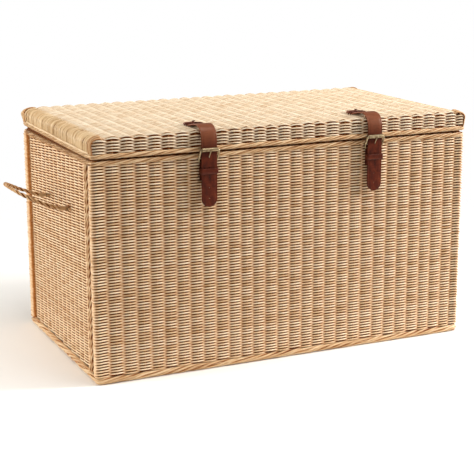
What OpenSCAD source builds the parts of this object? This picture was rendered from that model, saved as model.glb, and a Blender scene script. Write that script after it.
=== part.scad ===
// Wicker storage trunk with a hinged lid, two buckled leather straps and two rope handles.
// Origin: centre of the footprint, on the floor. +X along the width, -Y the front, +Z up.

/* [Body] */
// Width over the rolled borders
body_w = 900; // [700:5:1100]
// Depth over the rolled borders
body_d = 512; // [400:2:640]
// Height of the body up to its top rim
body_h = 481.5; // [380:0.5:600]
// Thickness of every woven wall
wall_t = 7; // [5:0.5:10]
// How far the rolled borders stand proud of the walls
border_out = 5; // [3:0.5:8]
// Radius of the top rim's roll and of the lid border's roll
rim_r = 5.5; // [4.5:0.5:7]
// Radius of the roll that the trunk stands on
foot_r = 7.5; // [6:0.5:9]

/* [Lid] */
// Height of the lid from its border to its top
lid_h = 46.5; // [40:0.5:60]
// Gap between the body's rim and the lid's border
seam = 1; // [0.6:0.1:2]
// How much further than the body the lid stands out at the front and the sides
lid_over = 2; // [0:0.5:4]
// Rounding between the lid's top and its ends
lid_round = 20; // [12:1:26]

/* [Frame] */
// Radius of the corner poles and of the lower rails
post_r = 6; // [5:0.5:7]
// Width of the upper rails and the lid's rails, across the wall
rail_w = 13.6; // [11:0.1:14]
// Number of battens under the floor and under the lid's top
batten_count = 3; // [2:1:5]
// Width of a batten
batten_w = 28; // [20:1:40]

/* [Straps] */
// Width of the leather straps
strap_w = 36; // [30:1:40]
// Thickness of the leather straps
strap_t = 3; // [2.5:0.1:3]
// Distance between the two straps
strap_pitch = 402; // [300:2:500]
// Sideways shift of the pair from the middle of the front
strap_shift = 7; // [0:1:10]
// Height of the rounded tip of the tail above the floor
tail_tip_z = 365.4; // [362:0.1:368]
// Distance between the holes in the tail
hole_pitch = 22.2; // [22.1:0.1:22.3]

/* [Handles] */
// Distance between the two ends of a handle
handle_w = 160; // [120:2:200]
// How far a handle reaches out from its pivots
handle_reach = 120; // [90:1:140]
// Thickness of a handle
handle_t = 9; // [7:0.5:10]
// Height of the handle's pivots above the floor
handle_z = 350; // [300:1:380]
// Rest angle of a handle above the horizontal
handle_tilt = 24; // [0:1:40]

/* [Hinges] */
// Length of each butt hinge
hinge_len = 60; // [40:2:80]
// Distance of each hinge from the middle of the back
hinge_x = 260; // [150:5:340]

/* [Hidden] */
$fn = 48;

cane = "#dcbd86";
pole = "#c79c63";
wood = "#b48a58";
leather = "#58291f";
brass = "#b59a5c";
steel = "#9a958a";

// Half sizes of the walls
wall_x = body_w / 2 - border_out;
wall_y = body_d / 2 - border_out;
in_x = wall_x - wall_t;
in_y = wall_y - wall_t;
foot_h = 2 * foot_r;
rim_h = 2 * rim_r;
wall_top = body_h - rim_h;

// Plan rounding of the borders, and the part of it that the walls leave open
corner_r = 16;
wrap_r = 9.5;
post_x = wall_x - wrap_r;
post_y = wall_y - wrap_r;
fit_gap = 0.1;
skin_gap = 0.2;

// The ropes that stand in front of each side wall's front edge
rope_r = 4.9;
rope_pitch = 10;
rope_back = 2;
rope_front_y = -208;
side_front_y = -192.5;
side_back_y = 228;

// Lid
lid_z = body_h + seam;
lid_top = lid_z + lid_h;
lid_border_top = lid_z + rim_h;
lid_x = wall_x + lid_over;
lid_front = -wall_y - lid_over;
lid_back = wall_y;
lid_mid_y = (lid_front + lid_back) / 2;
lid_in_x = lid_x - wall_t;
lid_in_front = lid_front + wall_t;
lid_in_back = lid_back - wall_t;

// Rails and battens
top_rail_z = 462;
leaf_t = 1.2;
leaf_seat = 0.9;
lid_rail_h = 13;
floor_z = 8;
floor_t = 6;
floor_x = body_w / 2 - 2 * foot_r - 0.3;
floor_y = body_d / 2 - 2 * foot_r - 0.3;
batten_t = 5.8;

// Lid hinge: the axis lies in the groove between the two rolls at the back
hinge_y = body_d / 2 - rim_r + 2.75;
hinge_z = body_h + seam / 2;
knuckle_r = 2.7;
pin_r = 1.2;
leaf_front = 229;
leaf_edge = hinge_y - 2.95;
leaf_gap = 0.1;
screw_y = 237;
screw_r = 1.6;
screw_head_r = 3;
screw_spots = [-20, 0, 20];

// Buckle: the heel bar lies in the fold of the chape, and the frame leans outwards
strap_x = [strap_shift - strap_pitch / 2, strap_shift + strap_pitch / 2];
heel_y = -255.4;
heel_z = 462;
bar_r = 2;
bar_fit = 0.08;
frame_len = 30;
frame_lean = 26;
frame_half = strap_w / 2 + 3;
roller_r = 3.5;
prong_t = 2.4;
prong_w = 2.6;
prong_len = 33.5;
prong_lean = frame_lean + asin((roller_r + prong_t / 2 + 0.3) / frame_len);
eye_r = 3.3;

// Strap: the middle of the tail's thickness, the fold by the lid, and the prong's hole
tail_y = -263;
fold_z = 480.5;
fold_gap = 2;
hole_z = heel_z + (heel_y - tail_y) / tan(prong_lean);
hole_w = 3.8;
hole_h = 9.6;
hole_count = 5;
strap_end_y = -150;
strap_point_y = -166;
strap_flat_y = -190;
strap_flat_z = lid_top + skin_gap + strap_t / 2;
strap_drop_z = 497;
strap_bend = [[strap_flat_y, strap_flat_z], [-226, strap_flat_z + 8.3],
    [-266, strap_flat_z + 20.3], [tail_y, strap_drop_z]];
strap_steps = 24;
lacing_lean = 14;

// Chape and keeper
chape_t = 1.8;
chape_low = 424;
chape_join = 434;
chape_slot = 3;
chape_back = heel_y + bar_r + 0.1 + chape_t;
chape_front = heel_y - bar_r - 0.1 - chape_t;
keeper_low = 437;
keeper_high = 448.5;
keeper_t = 2;
keeper_back = -254.3;
rivet_r = 1.5;
rivet_z = 429;
rivet_x = 9;

// Handle pivots
handle_x = wall_x + 6;
handle_bend = 56;
pivot_r = 2;
pivot_fit = 0.08;
sleeve_r = 5;
sleeve_half = 6;
staple_half = 9;

// ---------------------------------------------------------------- helpers

// Shows its children at both ends of the width
module both_sides() {
    children();
    mirror([1, 0, 0]) children();
}

// A rectangular ring: the section's x runs outwards, from the centre of the corner arc
module ring(w, d) {
    hx = w / 2 - corner_r;
    hy = d / 2 - corner_r;
    for (turn = [0, 180]) {
        rotate([0, 0, turn]) translate([hx, 0, 0]) rotate([90, 0, 0])
            linear_extrude(2 * hy, center = true) children();
        rotate([0, 0, turn + 90]) translate([hy, 0, 0]) rotate([90, 0, 0])
            linear_extrude(2 * hx, center = true) children();
        rotate([0, 0, turn]) translate([hx, hy, 0]) rotate_extrude(angle = 90) children();
        rotate([0, 0, turn]) translate([-hx, hy, 0]) rotate([0, 0, 90])
            rotate_extrude(angle = 90) children();
    }
}

// Section of a rolled border: a round roll that reaches in over the wall's edge
module border_section(r) {
    translate([corner_r - r, r]) circle(r);
    translate([corner_r - border_out - wall_t, 0])
        square([border_out + wall_t - r, 2 * r]);
}

// A block given by its lowest and highest corners
module block(low, high) {
    translate(low) cube(high - low);
}

// A cylinder along X
module rod_x(r, length) {
    rotate([0, 90, 0]) cylinder(r = r, h = length, center = true);
}

// A cylinder along Y
module rod_y(r, length) {
    rotate([90, 0, 0]) cylinder(r = r, h = length, center = true);
}

// ---------------------------------------------------------------- body walls

// A long wall: its weavers turn round the corner poles at both ends
module long_wall() {
    difference() {
        union() {
            block([-post_x, -wall_y, foot_h], [post_x, -in_y, wall_top]);
            both_sides() translate([post_x, -post_y, foot_h])
                cylinder(r = wrap_r, h = wall_top - foot_h);
        }
        both_sides() translate([post_x, -post_y, foot_h - 1])
            cylinder(r = post_r + fit_gap, h = wall_top - foot_h + 2);
    }
}

module front_panel() {
    color(cane) difference() {
        long_wall();
        for (x = strap_x, side = [-1, 1])
            translate([x + side * rivet_x, -wall_y + wall_t / 2, rivet_z])
                rod_y(rivet_r + fit_gap, wall_t + 2);
    }
}

module back_panel() {
    color(cane) mirror([0, 1, 0]) long_wall();
}

// A side wall: a thick woven field and a thin lath that carries the corner ropes
module side_wall() {
    lath_y = post_y - wrap_r + 0.3;
    color(cane) difference() {
        union() {
            block([-wall_x, side_front_y, foot_h], [-in_x, side_back_y, wall_top]);
            block([-in_x - rope_back, -lath_y, foot_h], [-in_x, lath_y, wall_top]);
        }
        for (y = [-1, 1], leg = [-1, 1])
            translate([-in_x - wall_t / 2, y * handle_w / 2 + leg * staple_half, handle_z])
                rod_x(pivot_r + 0.05, wall_t + 2);
    }
}

module left_panel() {
    side_wall();
}

module right_panel() {
    mirror([1, 0, 0]) side_wall();
}

module bottom_panel() {
    color(cane) block([-floor_x, -floor_y, floor_z], [floor_x, floor_y, floor_z + floor_t]);
}

module corner_poles() {
    color(pole) both_sides() for (y = [-1, 1])
        translate([post_x, y * post_y, foot_h + skin_gap])
            cylinder(r = post_r, h = wall_top - foot_h - 2 * skin_gap);
}

// Laths inside the top rim; the back one takes the hinge screws
module top_rails() {
    z0 = top_rail_z;
    z1 = body_h - leaf_seat;
    x1 = in_x - skin_gap;
    y1 = in_y - skin_gap;
    side_end = post_y - wrap_r - 0.3;
    color(wood) difference() {
        union() {
            for (side = [-1, 1]) {
                mirror([0, side > 0 ? 1 : 0, 0])
                    block([-x1 + rail_w + 0.6, -y1, z0], [x1 - rail_w - 0.6, -y1 + rail_w, z1]);
                mirror([side > 0 ? 1 : 0, 0, 0])
                    block([-x1, -side_end, z0], [-x1 + rail_w, side_end, z1]);
            }
        }
        hinge_spots() translate([0, screw_y, z1 - 11.5]) cylinder(r = screw_r + 0.05, h = 13);
    }
}

// Round rails along the foot of each wall
module bottom_rails() {
    z = floor_z + floor_t + skin_gap + post_r;
    x = in_x - skin_gap - post_r;
    y = in_y - skin_gap - post_r;
    color(pole) {
        for (side = [-1, 1]) {
            translate([0, side * y, z]) rod_x(post_r, 2 * (x - post_r) - 2);
            translate([side * x, 0, z]) rod_y(post_r, 2 * (post_y - wrap_r) - 1);
        }
    }
}

// Runners under the floor, level with the foot border
module floor_battens() {
    reach = floor_y - 0.5;
    span = 2 * in_x - 160;
    color(wood) for (i = [0 : batten_count - 1]) {
        x = -span / 2 + i * span / (batten_count - 1);
        block([x - batten_w / 2, -reach, 0], [x + batten_w / 2, reach, floor_z - skin_gap]);
    }
}

// Room for both leaves and the knuckles of each butt hinge
module hinge_seats() {
    for (side = [-1, 1]) translate([side * hinge_x, 0, 0]) {
        translate([0, hinge_y, hinge_z]) rod_x(knuckle_r + 0.4, hinge_len + 1);
        block([-hinge_len / 2 - 0.5, leaf_front - 1, body_h - leaf_seat],
            [hinge_len / 2 + 0.5, hinge_y, lid_z + leaf_seat]);
    }
}

module top_rim() {
    color(cane) difference() {
        translate([0, 0, wall_top]) ring(body_w, body_d) border_section(rim_r);
        hinge_seats();
    }
}

module bottom_rim() {
    color(cane) ring(body_w, body_d) border_section(foot_r);
}

module corner_ropes() {
    color(cane) for (i = [0, 1])
        translate([-in_x - rope_back - rope_r - fit_gap, rope_front_y + i * rope_pitch, foot_h + skin_gap])
            cylinder(r = rope_r, h = wall_top - foot_h - 2 * skin_gap);
}

module corner_ropes_left() {
    corner_ropes();
}

module corner_ropes_right() {
    mirror([1, 0, 0]) corner_ropes();
}

// ---------------------------------------------------------------- lid

module lid_top_panel() {
    flat_x = lid_x - lid_round;
    color(cane) block([-flat_x, lid_in_front, lid_top - wall_t], [flat_x, lid_in_back, lid_top]);
}

// Outline of the lid's long sides: square below, rounded above
module lid_outline() {
    flat_x = lid_x - lid_round;
    skirt_h = lid_top - lid_border_top;
    intersection() {
        translate([-lid_x, lid_border_top]) square([2 * lid_x, skirt_h]);
        union() {
            translate([-lid_x, lid_border_top]) square([2 * lid_x, skirt_h - lid_round]);
            translate([-flat_x, lid_border_top]) square([2 * flat_x, skirt_h]);
            for (side = [-1, 1]) translate([side * flat_x, lid_top - lid_round]) circle(lid_round);
        }
    }
}

module lid_skirt(outer_y) {
    color(cane) translate([0, outer_y, 0]) rotate([90, 0, 0])
        linear_extrude(wall_t) lid_outline();
}

module lid_front_skirt() {
    lid_skirt(lid_in_front);
}

module lid_back_skirt() {
    lid_skirt(lid_back);
}

// End of the lid: canes that come down from the top over a round edge
module lid_end() {
    flat_x = lid_x - lid_round;
    bend_z = lid_top - lid_round;
    color(cane) translate([0, lid_in_back, 0]) rotate([90, 0, 0])
        linear_extrude(lid_in_back - lid_in_front) {
            translate([-lid_x, lid_border_top]) square([wall_t, bend_z - lid_border_top]);
            intersection() {
                translate([-flat_x, bend_z]) difference() {
                    circle(lid_round);
                    circle(lid_round - wall_t);
                }
                translate([-lid_x, bend_z]) square([lid_round, lid_round]);
            }
        }
}

module lid_left_end() {
    lid_end();
}

module lid_right_end() {
    mirror([1, 0, 0]) lid_end();
}

module lid_border() {
    color(cane) difference() {
        translate([0, lid_mid_y, lid_z])
            ring(2 * (lid_x + border_out), lid_back - lid_front + 2 * border_out) border_section(rim_r);
        hinge_seats();
    }
}

module lid_rails() {
    z0 = lid_z + leaf_seat;
    z1 = z0 + lid_rail_h;
    x1 = lid_in_x - skin_gap;
    y0 = lid_in_front + skin_gap;
    y1 = lid_in_back - skin_gap;
    color(wood) difference() {
        union() {
            block([-x1 + rail_w + 0.4, y0, z0], [x1 - rail_w - 0.4, y0 + rail_w, z1]);
            block([-x1 + rail_w + 0.4, y1 - rail_w, z0], [x1 - rail_w - 0.4, y1, z1]);
            both_sides() block([-x1, y0 + 3, z0], [-x1 + rail_w, y1 - 3, z1]);
        }
        hinge_spots() translate([0, screw_y, z0 - 1]) cylinder(r = screw_r + 0.05, h = 12.5);
    }
}

module lid_battens() {
    z1 = lid_top - wall_t - skin_gap;
    span = 2 * lid_in_x - 240;
    color(wood) for (i = [0 : batten_count - 1]) {
        x = -span / 2 + i * span / (batten_count - 1);
        block([x - batten_w / 2, lid_in_front + 1, z1 - batten_t], [x + batten_w / 2, lid_in_back - 1, z1]);
    }
}

// Bent canes that cover the front end of each rounded edge
module lid_corner_canes() {
    cane_r = 2.2;
    flat_x = lid_x - lid_round;
    bend_z = lid_top - lid_round;
    bend_r = lid_round + cane_r + fit_gap;
    color(cane) both_sides() for (i = [0 : 2]) translate([0, lid_front + 5 + i * 6, 0]) {
        translate([-flat_x - bend_r, 0, lid_border_top + skin_gap])
            cylinder(r = cane_r, h = bend_z - lid_border_top - skin_gap);
        translate([-flat_x, 0, bend_z]) rotate([90, 0, 180])
            rotate_extrude(angle = 55) translate([bend_r, 0]) circle(cane_r);
    }
}

// ---------------------------------------------------------------- hinges

// Each screw position of both hinges, in plan
module hinge_spots() {
    for (side = [-1, 1], x = screw_spots) translate([side * hinge_x + x, 0, 0]) children();
}

// One leaf: a plate, its knuckles and the webs that join them
module hinge_leaf(z0, first) {
    step = hinge_len / 5;
    block([-hinge_len / 2, leaf_front, z0], [hinge_len / 2, leaf_edge, z0 + leaf_t]);
    for (i = [first : 2 : 4]) {
        x0 = -hinge_len / 2 + i * step + (i > 0 ? leaf_gap : 0);
        x1 = -hinge_len / 2 + (i + 1) * step - (i < 4 ? leaf_gap : 0);
        block([x0, leaf_edge - 1, z0], [x1, hinge_y, z0 + leaf_t]);
        translate([(x0 + x1) / 2, hinge_y, hinge_z]) rod_x(knuckle_r, x1 - x0);
    }
}

module hinge_pair(z0, first, head_up) {
    sink = head_up ? 1 : 0;
    color(brass) difference() {
        for (side = [-1, 1]) translate([side * hinge_x, 0, 0]) hinge_leaf(z0, first);
        for (side = [-1, 1]) translate([side * hinge_x, hinge_y, hinge_z]) rod_x(pin_r + 0.05, hinge_len + 2);
        hinge_spots() translate([0, screw_y, z0]) mirror([0, 0, 1 - sink])
            translate([0, 0, -(1 - sink) * leaf_t])
                cylinder(r1 = screw_r + 0.1, r2 = screw_head_r + 0.1, h = leaf_t);
    }
}

module hinge_body_leaves() {
    hinge_pair(hinge_z - leaf_gap - leaf_t, 0, true);
}

module hinge_lid_leaves() {
    hinge_pair(hinge_z + leaf_gap, 1, false);
}

module hinge_pins() {
    color(steel) for (side = [-1, 1])
        translate([side * hinge_x, hinge_y, hinge_z]) rod_x(pin_r, hinge_len);
}

// Countersunk wood screw, head on top
module wood_screw() {
    translate([0, 0, -10]) cylinder(r = screw_r, h = 10.001);
    cylinder(r1 = screw_r, r2 = screw_head_r, h = leaf_t);
}

module hinge_body_screws() {
    color(brass) hinge_spots() translate([0, screw_y, hinge_z - leaf_gap - leaf_t]) wood_screw();
}

module hinge_lid_screws() {
    color(brass) hinge_spots() translate([0, screw_y, hinge_z + leaf_gap + leaf_t])
        mirror([0, 0, 1]) wood_screw();
}

// ---------------------------------------------------------------- straps

// Point on a cubic curve
function curve_at(p, t) = pow(1 - t, 3) * p[0] + 3 * t * pow(1 - t, 2) * p[1]
    + 3 * t * t * (1 - t) * p[2] + pow(t, 3) * p[3];

// Direction of the same curve, turned a quarter to its outer side
function curve_out(p, t) = let (
    d = pow(1 - t, 2) * (p[1] - p[0]) + 2 * t * (1 - t) * (p[2] - p[1]) + t * t * (p[3] - p[2]),
    n = norm(d)) [d[1] / n, -d[0] / n];

// Strap from its laced end on the lid's top, over the front edge, to the fold under the border
module strap_top(x) {
    half = strap_t / 2;
    ts = [for (i = [0 : strap_steps]) i / strap_steps];
    outer = [for (t = ts) curve_at(strap_bend, t) + half * curve_out(strap_bend, t)];
    inner = [for (t = ts) curve_at(strap_bend, t) - half * curve_out(strap_bend, t)];
    flat = [[strap_point_y, strap_flat_z - half], [strap_point_y, strap_flat_z + half]];
    drop = [[tail_y - half, fold_z], [tail_y + half, fold_z]];
    inner_back = [for (i = [strap_steps : -1 : 0]) inner[i]];
    color(leather) translate([x, 0, 0]) difference() {
        union() {
            rotate([90, 0, 90]) linear_extrude(strap_w, center = true)
                polygon(concat([flat[1]], outer, drop, inner_back, [flat[0]]));
            translate([0, 0, strap_flat_z - half]) linear_extrude(strap_t)
                polygon([[-strap_w / 2, strap_point_y], [strap_w / 2, strap_point_y],
                    [7, strap_end_y], [-7, strap_end_y]]);
        }
        translate([0, tail_y, fold_z]) rod_x(fold_gap, strap_w + 2);
    }
}

module strap_top_left() {
    strap_top(strap_x[0]);
}

module strap_top_right() {
    strap_top(strap_x[1]);
}

// Crossed thongs that hold the strap's end down on the lid
module strap_lacing(x) {
    thong_r = 1.3;
    z = strap_flat_z + strap_t / 2 + thong_r + fit_gap;
    half = (strap_w / 2 + thong_r + 0.3) / cos(lacing_lean);
    color(leather) translate([x, -182, z]) for (lean = [-lacing_lean, lacing_lean]) rotate([0, 0, lean]) {
        rod_x(thong_r, 2 * half);
        for (side = [-1, 1]) translate([side * half, 0, 0]) {
            sphere(thong_r);
            translate([0, 0, lid_top + fit_gap - z]) cylinder(r = thong_r, h = z - lid_top - fit_gap);
        }
    }
}

module strap_lacing_left() {
    strap_lacing(strap_x[0]);
}

module strap_lacing_right() {
    strap_lacing(strap_x[1]);
}

// Tail: from the fold, behind the roller and through the keeper, to its rounded tip
module strap_tail(x) {
    tip_r = strap_w / 2;
    color(leather) translate([x, tail_y, 0]) difference() {
        union() {
            translate([0, 0, fold_z]) rod_x(strap_t / 2, strap_w);
            rotate([90, 0, 0]) linear_extrude(strap_t, center = true) {
                translate([-strap_w / 2, tail_tip_z + tip_r]) square([strap_w, fold_z - tail_tip_z - tip_r]);
                translate([0, tail_tip_z + tip_r]) circle(tip_r);
            }
        }
        for (i = [0 : hole_count - 1]) translate([0, 0, hole_z - i * hole_pitch]) {
            straight = hole_h - hole_w;
            cube([hole_w, strap_t + 2, straight], center = true);
            for (end = [-1, 1]) translate([0, 0, end * straight / 2]) rod_y(hole_w / 2, strap_t + 2);
        }
    }
}

module strap_tail_left() {
    strap_tail(strap_x[0]);
}

module strap_tail_right() {
    strap_tail(strap_x[1]);
}

// Chape: a leather strip folded round the heel bar and riveted to the wall
module chape(x) {
    back_y = chape_back;
    front_y = chape_front;
    color(leather) translate([x, 0, 0]) difference() {
        rotate([90, 0, 90]) linear_extrude(strap_w, center = true) {
            difference() {
                translate([heel_y, heel_z]) circle(bar_r + 0.1 + chape_t);
                translate([heel_y, heel_z]) circle(bar_r + 0.1);
                translate([heel_y - 10, heel_z - 20]) square([20, 20]);
            }
            translate([back_y - chape_t, chape_low]) square([chape_t, heel_z - chape_low]);
            translate([front_y, chape_low]) square([chape_t, heel_z - chape_low]);
            translate([front_y, chape_low]) square([back_y - front_y, chape_join - chape_low]);
        }
        block([-chape_slot, front_y - 1, heel_z - 9], [chape_slot, back_y + 1, heel_z + 10]);
        for (side = [-1, 1]) translate([side * rivet_x, heel_y, rivet_z]) rod_y(rivet_r + fit_gap, 20);
    }
}

module chape_left() {
    chape(strap_x[0]);
}

module chape_right() {
    chape(strap_x[1]);
}

// Keeper: a leather loop round the tail, its back leg held inside the chape
module keeper(x) {
    half_in = strap_w / 2 + 0.5;
    front_in = tail_y - strap_t / 2 - 1.1;
    color(leather) translate([x, 0, 0]) difference() {
        block([-half_in - keeper_t, front_in - keeper_t, keeper_low],
            [half_in + keeper_t, keeper_back, keeper_high]);
        block([-half_in, front_in, keeper_low - 1],
            [half_in, keeper_back - keeper_t, keeper_high + 1]);
    }
}

module keeper_left() {
    keeper(strap_x[0]);
}

module keeper_right() {
    keeper(strap_x[1]);
}

module chape_rivets() {
    head_t = 0.8;
    color(brass) for (x = strap_x, side = [-1, 1]) translate([x + side * rivet_x, 0, rivet_z]) {
        rotate([90, 0, 0]) {
            translate([0, 0, -chape_front]) cylinder(r = 3.4, h = head_t);
            translate([0, 0, in_y - 1.5]) cylinder(r = rivet_r, h = -chape_front - in_y + 1.5);
            translate([0, 0, in_y - 1.5]) cylinder(r = 4, h = 1.4);
        }
    }
}

// Places a buckle's parts: heel bar at the origin, leaning outwards by an angle
module at_heel(x, lean) {
    translate([x, heel_y, heel_z]) rotate([lean, 0, 0]) children();
}

module buckle_frame(x) {
    color(brass) at_heel(x, frame_lean) {
        for (z = [0, frame_len]) {
            translate([0, 0, z]) rod_x(bar_r, 2 * frame_half);
            for (side = [-1, 1]) translate([side * frame_half, 0, z]) sphere(bar_r);
        }
        for (side = [-1, 1]) translate([side * frame_half, 0, 0]) cylinder(r = bar_r, h = frame_len);
    }
}

module buckle_frame_left() {
    buckle_frame(strap_x[0]);
}

module buckle_frame_right() {
    buckle_frame(strap_x[1]);
}

module buckle_roller(x) {
    color(brass) at_heel(x, frame_lean) translate([0, 0, frame_len]) difference() {
        rod_x(roller_r, strap_w + 1);
        rod_x(bar_r + bar_fit, strap_w + 3);
    }
}

module buckle_roller_left() {
    buckle_roller(strap_x[0]);
}

module buckle_roller_right() {
    buckle_roller(strap_x[1]);
}

// Prong: an eye round the heel bar and a tongue that rests on the roller
module buckle_prong(x) {
    color(brass) at_heel(x, prong_lean) difference() {
        union() {
            rod_x(eye_r, 4);
            block([-prong_w / 2, -prong_t / 2, 0], [prong_w / 2, prong_t / 2, prong_len]);
        }
        rod_x(bar_r + bar_fit, 6);
    }
}

module buckle_prong_left() {
    buckle_prong(strap_x[0]);
}

module buckle_prong_right() {
    buckle_prong(strap_x[1]);
}

// ---------------------------------------------------------------- handles

// Bent cane staples: each holds one end of the handle on the wall
module handle_staples() {
    color(pole) for (y = [-1, 1]) translate([-handle_x, y * handle_w / 2, handle_z]) {
        rod_y(pivot_r, 2 * staple_half);
        for (leg = [-1, 1]) translate([0, leg * staple_half, 0]) {
            sphere(pivot_r);
            translate([(handle_x - in_x) / 2, 0, 0]) rod_x(pivot_r, handle_x - in_x);
        }
    }
}

module handle_staples_left() {
    handle_staples();
}

module handle_staples_right() {
    mirror([1, 0, 0]) handle_staples();
}

// A stiff rope loop with a sleeve at each end, running on the staples
module handle_loop() {
    r = handle_t / 2;
    leg = handle_reach - handle_bend;
    half = handle_w / 2;
    color(cane) translate([-handle_x, 0, handle_z]) rotate([0, handle_tilt, 0]) difference() {
        union() {
            for (side = [-1, 1]) {
                translate([0, side * half, 0]) rod_y(sleeve_r, 2 * sleeve_half);
                translate([-leg / 2, side * half, 0]) rod_x(r, leg);
            }
            translate([-handle_reach, 0, 0]) rod_y(r, 2 * (half - handle_bend));
            translate([-leg, half - handle_bend, 0]) rotate([0, 0, 90])
                rotate_extrude(angle = 90) translate([handle_bend, 0]) circle(r);
            translate([-leg, handle_bend - half, 0]) rotate([0, 0, 180])
                rotate_extrude(angle = 90) translate([handle_bend, 0]) circle(r);
        }
        for (side = [-1, 1]) translate([0, side * half, 0])
            rod_y(pivot_r + pivot_fit, 2 * sleeve_half + 2);
    }
}

module handle_left() {
    handle_loop();
}

module handle_right() {
    mirror([1, 0, 0]) handle_loop();
}

// ---------------------------------------------------------------- model

front_panel();
back_panel();
left_panel();
right_panel();
bottom_panel();
corner_poles();
top_rails();
bottom_rails();
floor_battens();
top_rim();
bottom_rim();
corner_ropes_left();
corner_ropes_right();
chape_left();
chape_right();
keeper_left();
keeper_right();
chape_rivets();
hinge_body_leaves();
hinge_pins();
hinge_body_screws();
handle_staples_left();
handle_staples_right();
lid_top_panel();
lid_front_skirt();
lid_back_skirt();
lid_left_end();
lid_right_end();
lid_border();
lid_rails();
lid_battens();
lid_corner_canes();
hinge_lid_leaves();
hinge_lid_screws();
strap_top_left();
strap_top_right();
strap_lacing_left();
strap_lacing_right();
strap_tail_left();
strap_tail_right();
buckle_frame_left();
buckle_frame_right();
buckle_roller_left();
buckle_roller_right();
buckle_prong_left();
buckle_prong_right();
handle_left();
handle_right();
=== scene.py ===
"""Looks of a wicker storage trunk: woven walls and lid, rolled borders, rope handles, buckled straps."""

import math

import bmesh
import bpy
import numpy as np
from mathutils import Euler, Matrix, Vector


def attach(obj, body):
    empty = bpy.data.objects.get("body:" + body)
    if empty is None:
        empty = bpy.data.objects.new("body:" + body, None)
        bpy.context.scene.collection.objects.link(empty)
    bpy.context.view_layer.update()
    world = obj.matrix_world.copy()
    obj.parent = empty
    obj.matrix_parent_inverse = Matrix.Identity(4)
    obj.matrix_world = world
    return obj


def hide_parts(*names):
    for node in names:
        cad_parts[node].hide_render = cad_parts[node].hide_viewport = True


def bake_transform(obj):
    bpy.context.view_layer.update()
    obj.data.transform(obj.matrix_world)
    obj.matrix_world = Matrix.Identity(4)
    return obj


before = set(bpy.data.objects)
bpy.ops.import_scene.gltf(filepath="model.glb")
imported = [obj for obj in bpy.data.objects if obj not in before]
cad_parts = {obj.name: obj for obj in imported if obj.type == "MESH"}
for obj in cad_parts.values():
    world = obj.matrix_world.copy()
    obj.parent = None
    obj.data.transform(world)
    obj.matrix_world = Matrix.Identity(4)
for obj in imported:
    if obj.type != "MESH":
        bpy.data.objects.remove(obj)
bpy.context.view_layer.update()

MM = 0.001
rng = np.random.default_rng(7)

# ---- sizes, in millimetres, as in the CAD part

FRONT, BACK = -1, 1
LEFT, RIGHT = -1, 1
SIGN = {"left": LEFT, "right": RIGHT}
UP = np.array((0, 0, 1))

# Body
POLE_X, POLE_Y, POLE_R = 435.5, 241.5, 6.0
LATH_WIDTH = 13.6
FOOT_TOP, WALL_TOP = 15.0, 470.5
FLOOR_Z = 11.0
ROPE_X, ROPE_R = 445.0, 4.9
ROPE_Y = (-208.0, -198.0)

# Lid
LID_BORDER_TOP, LID_TOP = 493.5, 529.0
LID_FRONT, LID_BACK, LID_X = -253.5, 251.5, 450.0
LID_ROUND = 20.0
LID_INSET = 4.4
LID_BEND = 5.0

# Weave
STAKES = 29
FIRST_STAKE = -436.5
STAKE_PITCH = 30.45
LAST_STAKE = 440.0
SPACING_DRIFT = 4.2
STAKE_R = 2.4
WEAVER_R = 1.75
ROW_PITCH = 3.07
WEAVE_SWING = 3.4
ARCH, SKIRT_ARCH = 0.75, 1.7
WALL_MID_X, WALL_MID_Y = 441.0, 248.4
SIDE_COUNT, SIDE_FIRST, SIDE_PITCH = 13, -186.0, 31.1
SIDE_SEAMS, SEAM_X = ((-232.0, -193.0), (222.5, 232.0)), 438.6
STAKE_SWAY = 0.8
SKIN_HALF = 0.25
SAMPLES = 4
GRID = np.arange(1, SAMPLES * STAKES) / SAMPLES

# Shade: 0 on the open face of a strand, 1 in the depth of a recess
STAKE_SHADE, SKIN_SHADE, SEAM_SHADE = 0.75, 0.9, 1.0

# Shade added beyond the edge of a long wall's corner, on the borders' inner cords and on the bent canes
CORNER_SHADE, CORNER_EDGE = 0.07, 444.0
CORD_SHADE, BENT_SHADE = 0.6, 0.15

# Share of the shade that is left on the lid's skirts
SKIRT_SHADE = 0.7

# Borders: radius of the roll, and height of its middle
RIM_R, FOOT_R = 5.2, 7.5
RIM_Z, LID_BORDER_Z = 474.8, 489.3
BORDER_CORNER = 1.5
CORD_INSET, CORD_R, CORD_LAY = 9.4, 2.9, 46
BINDING = 1.5, -236, 238, 7.0  # radius, from y, to y, pitch
END_CANE_X, END_CANE_Z, END_CANE_HALF, END_CANE_R = 450.2, 494.0, 246, 2.3

# Hinges
HINGE_X, HINGE_Y, HINGE_Z, HINGE_LEN = 260.0, 253.25, 482.0, 60.0
LEAF_FRONT, LEAF_EDGE, LEAF_T = 229.0, 250.3, 1.2
KNUCKLE_R, PIN_R = 2.7, 1.2
SCREW_Y, SCREW_SPOTS, SCREW_HEAD_R = 237.0, (-20.0, 0.0, 20.0), 2.95

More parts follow.
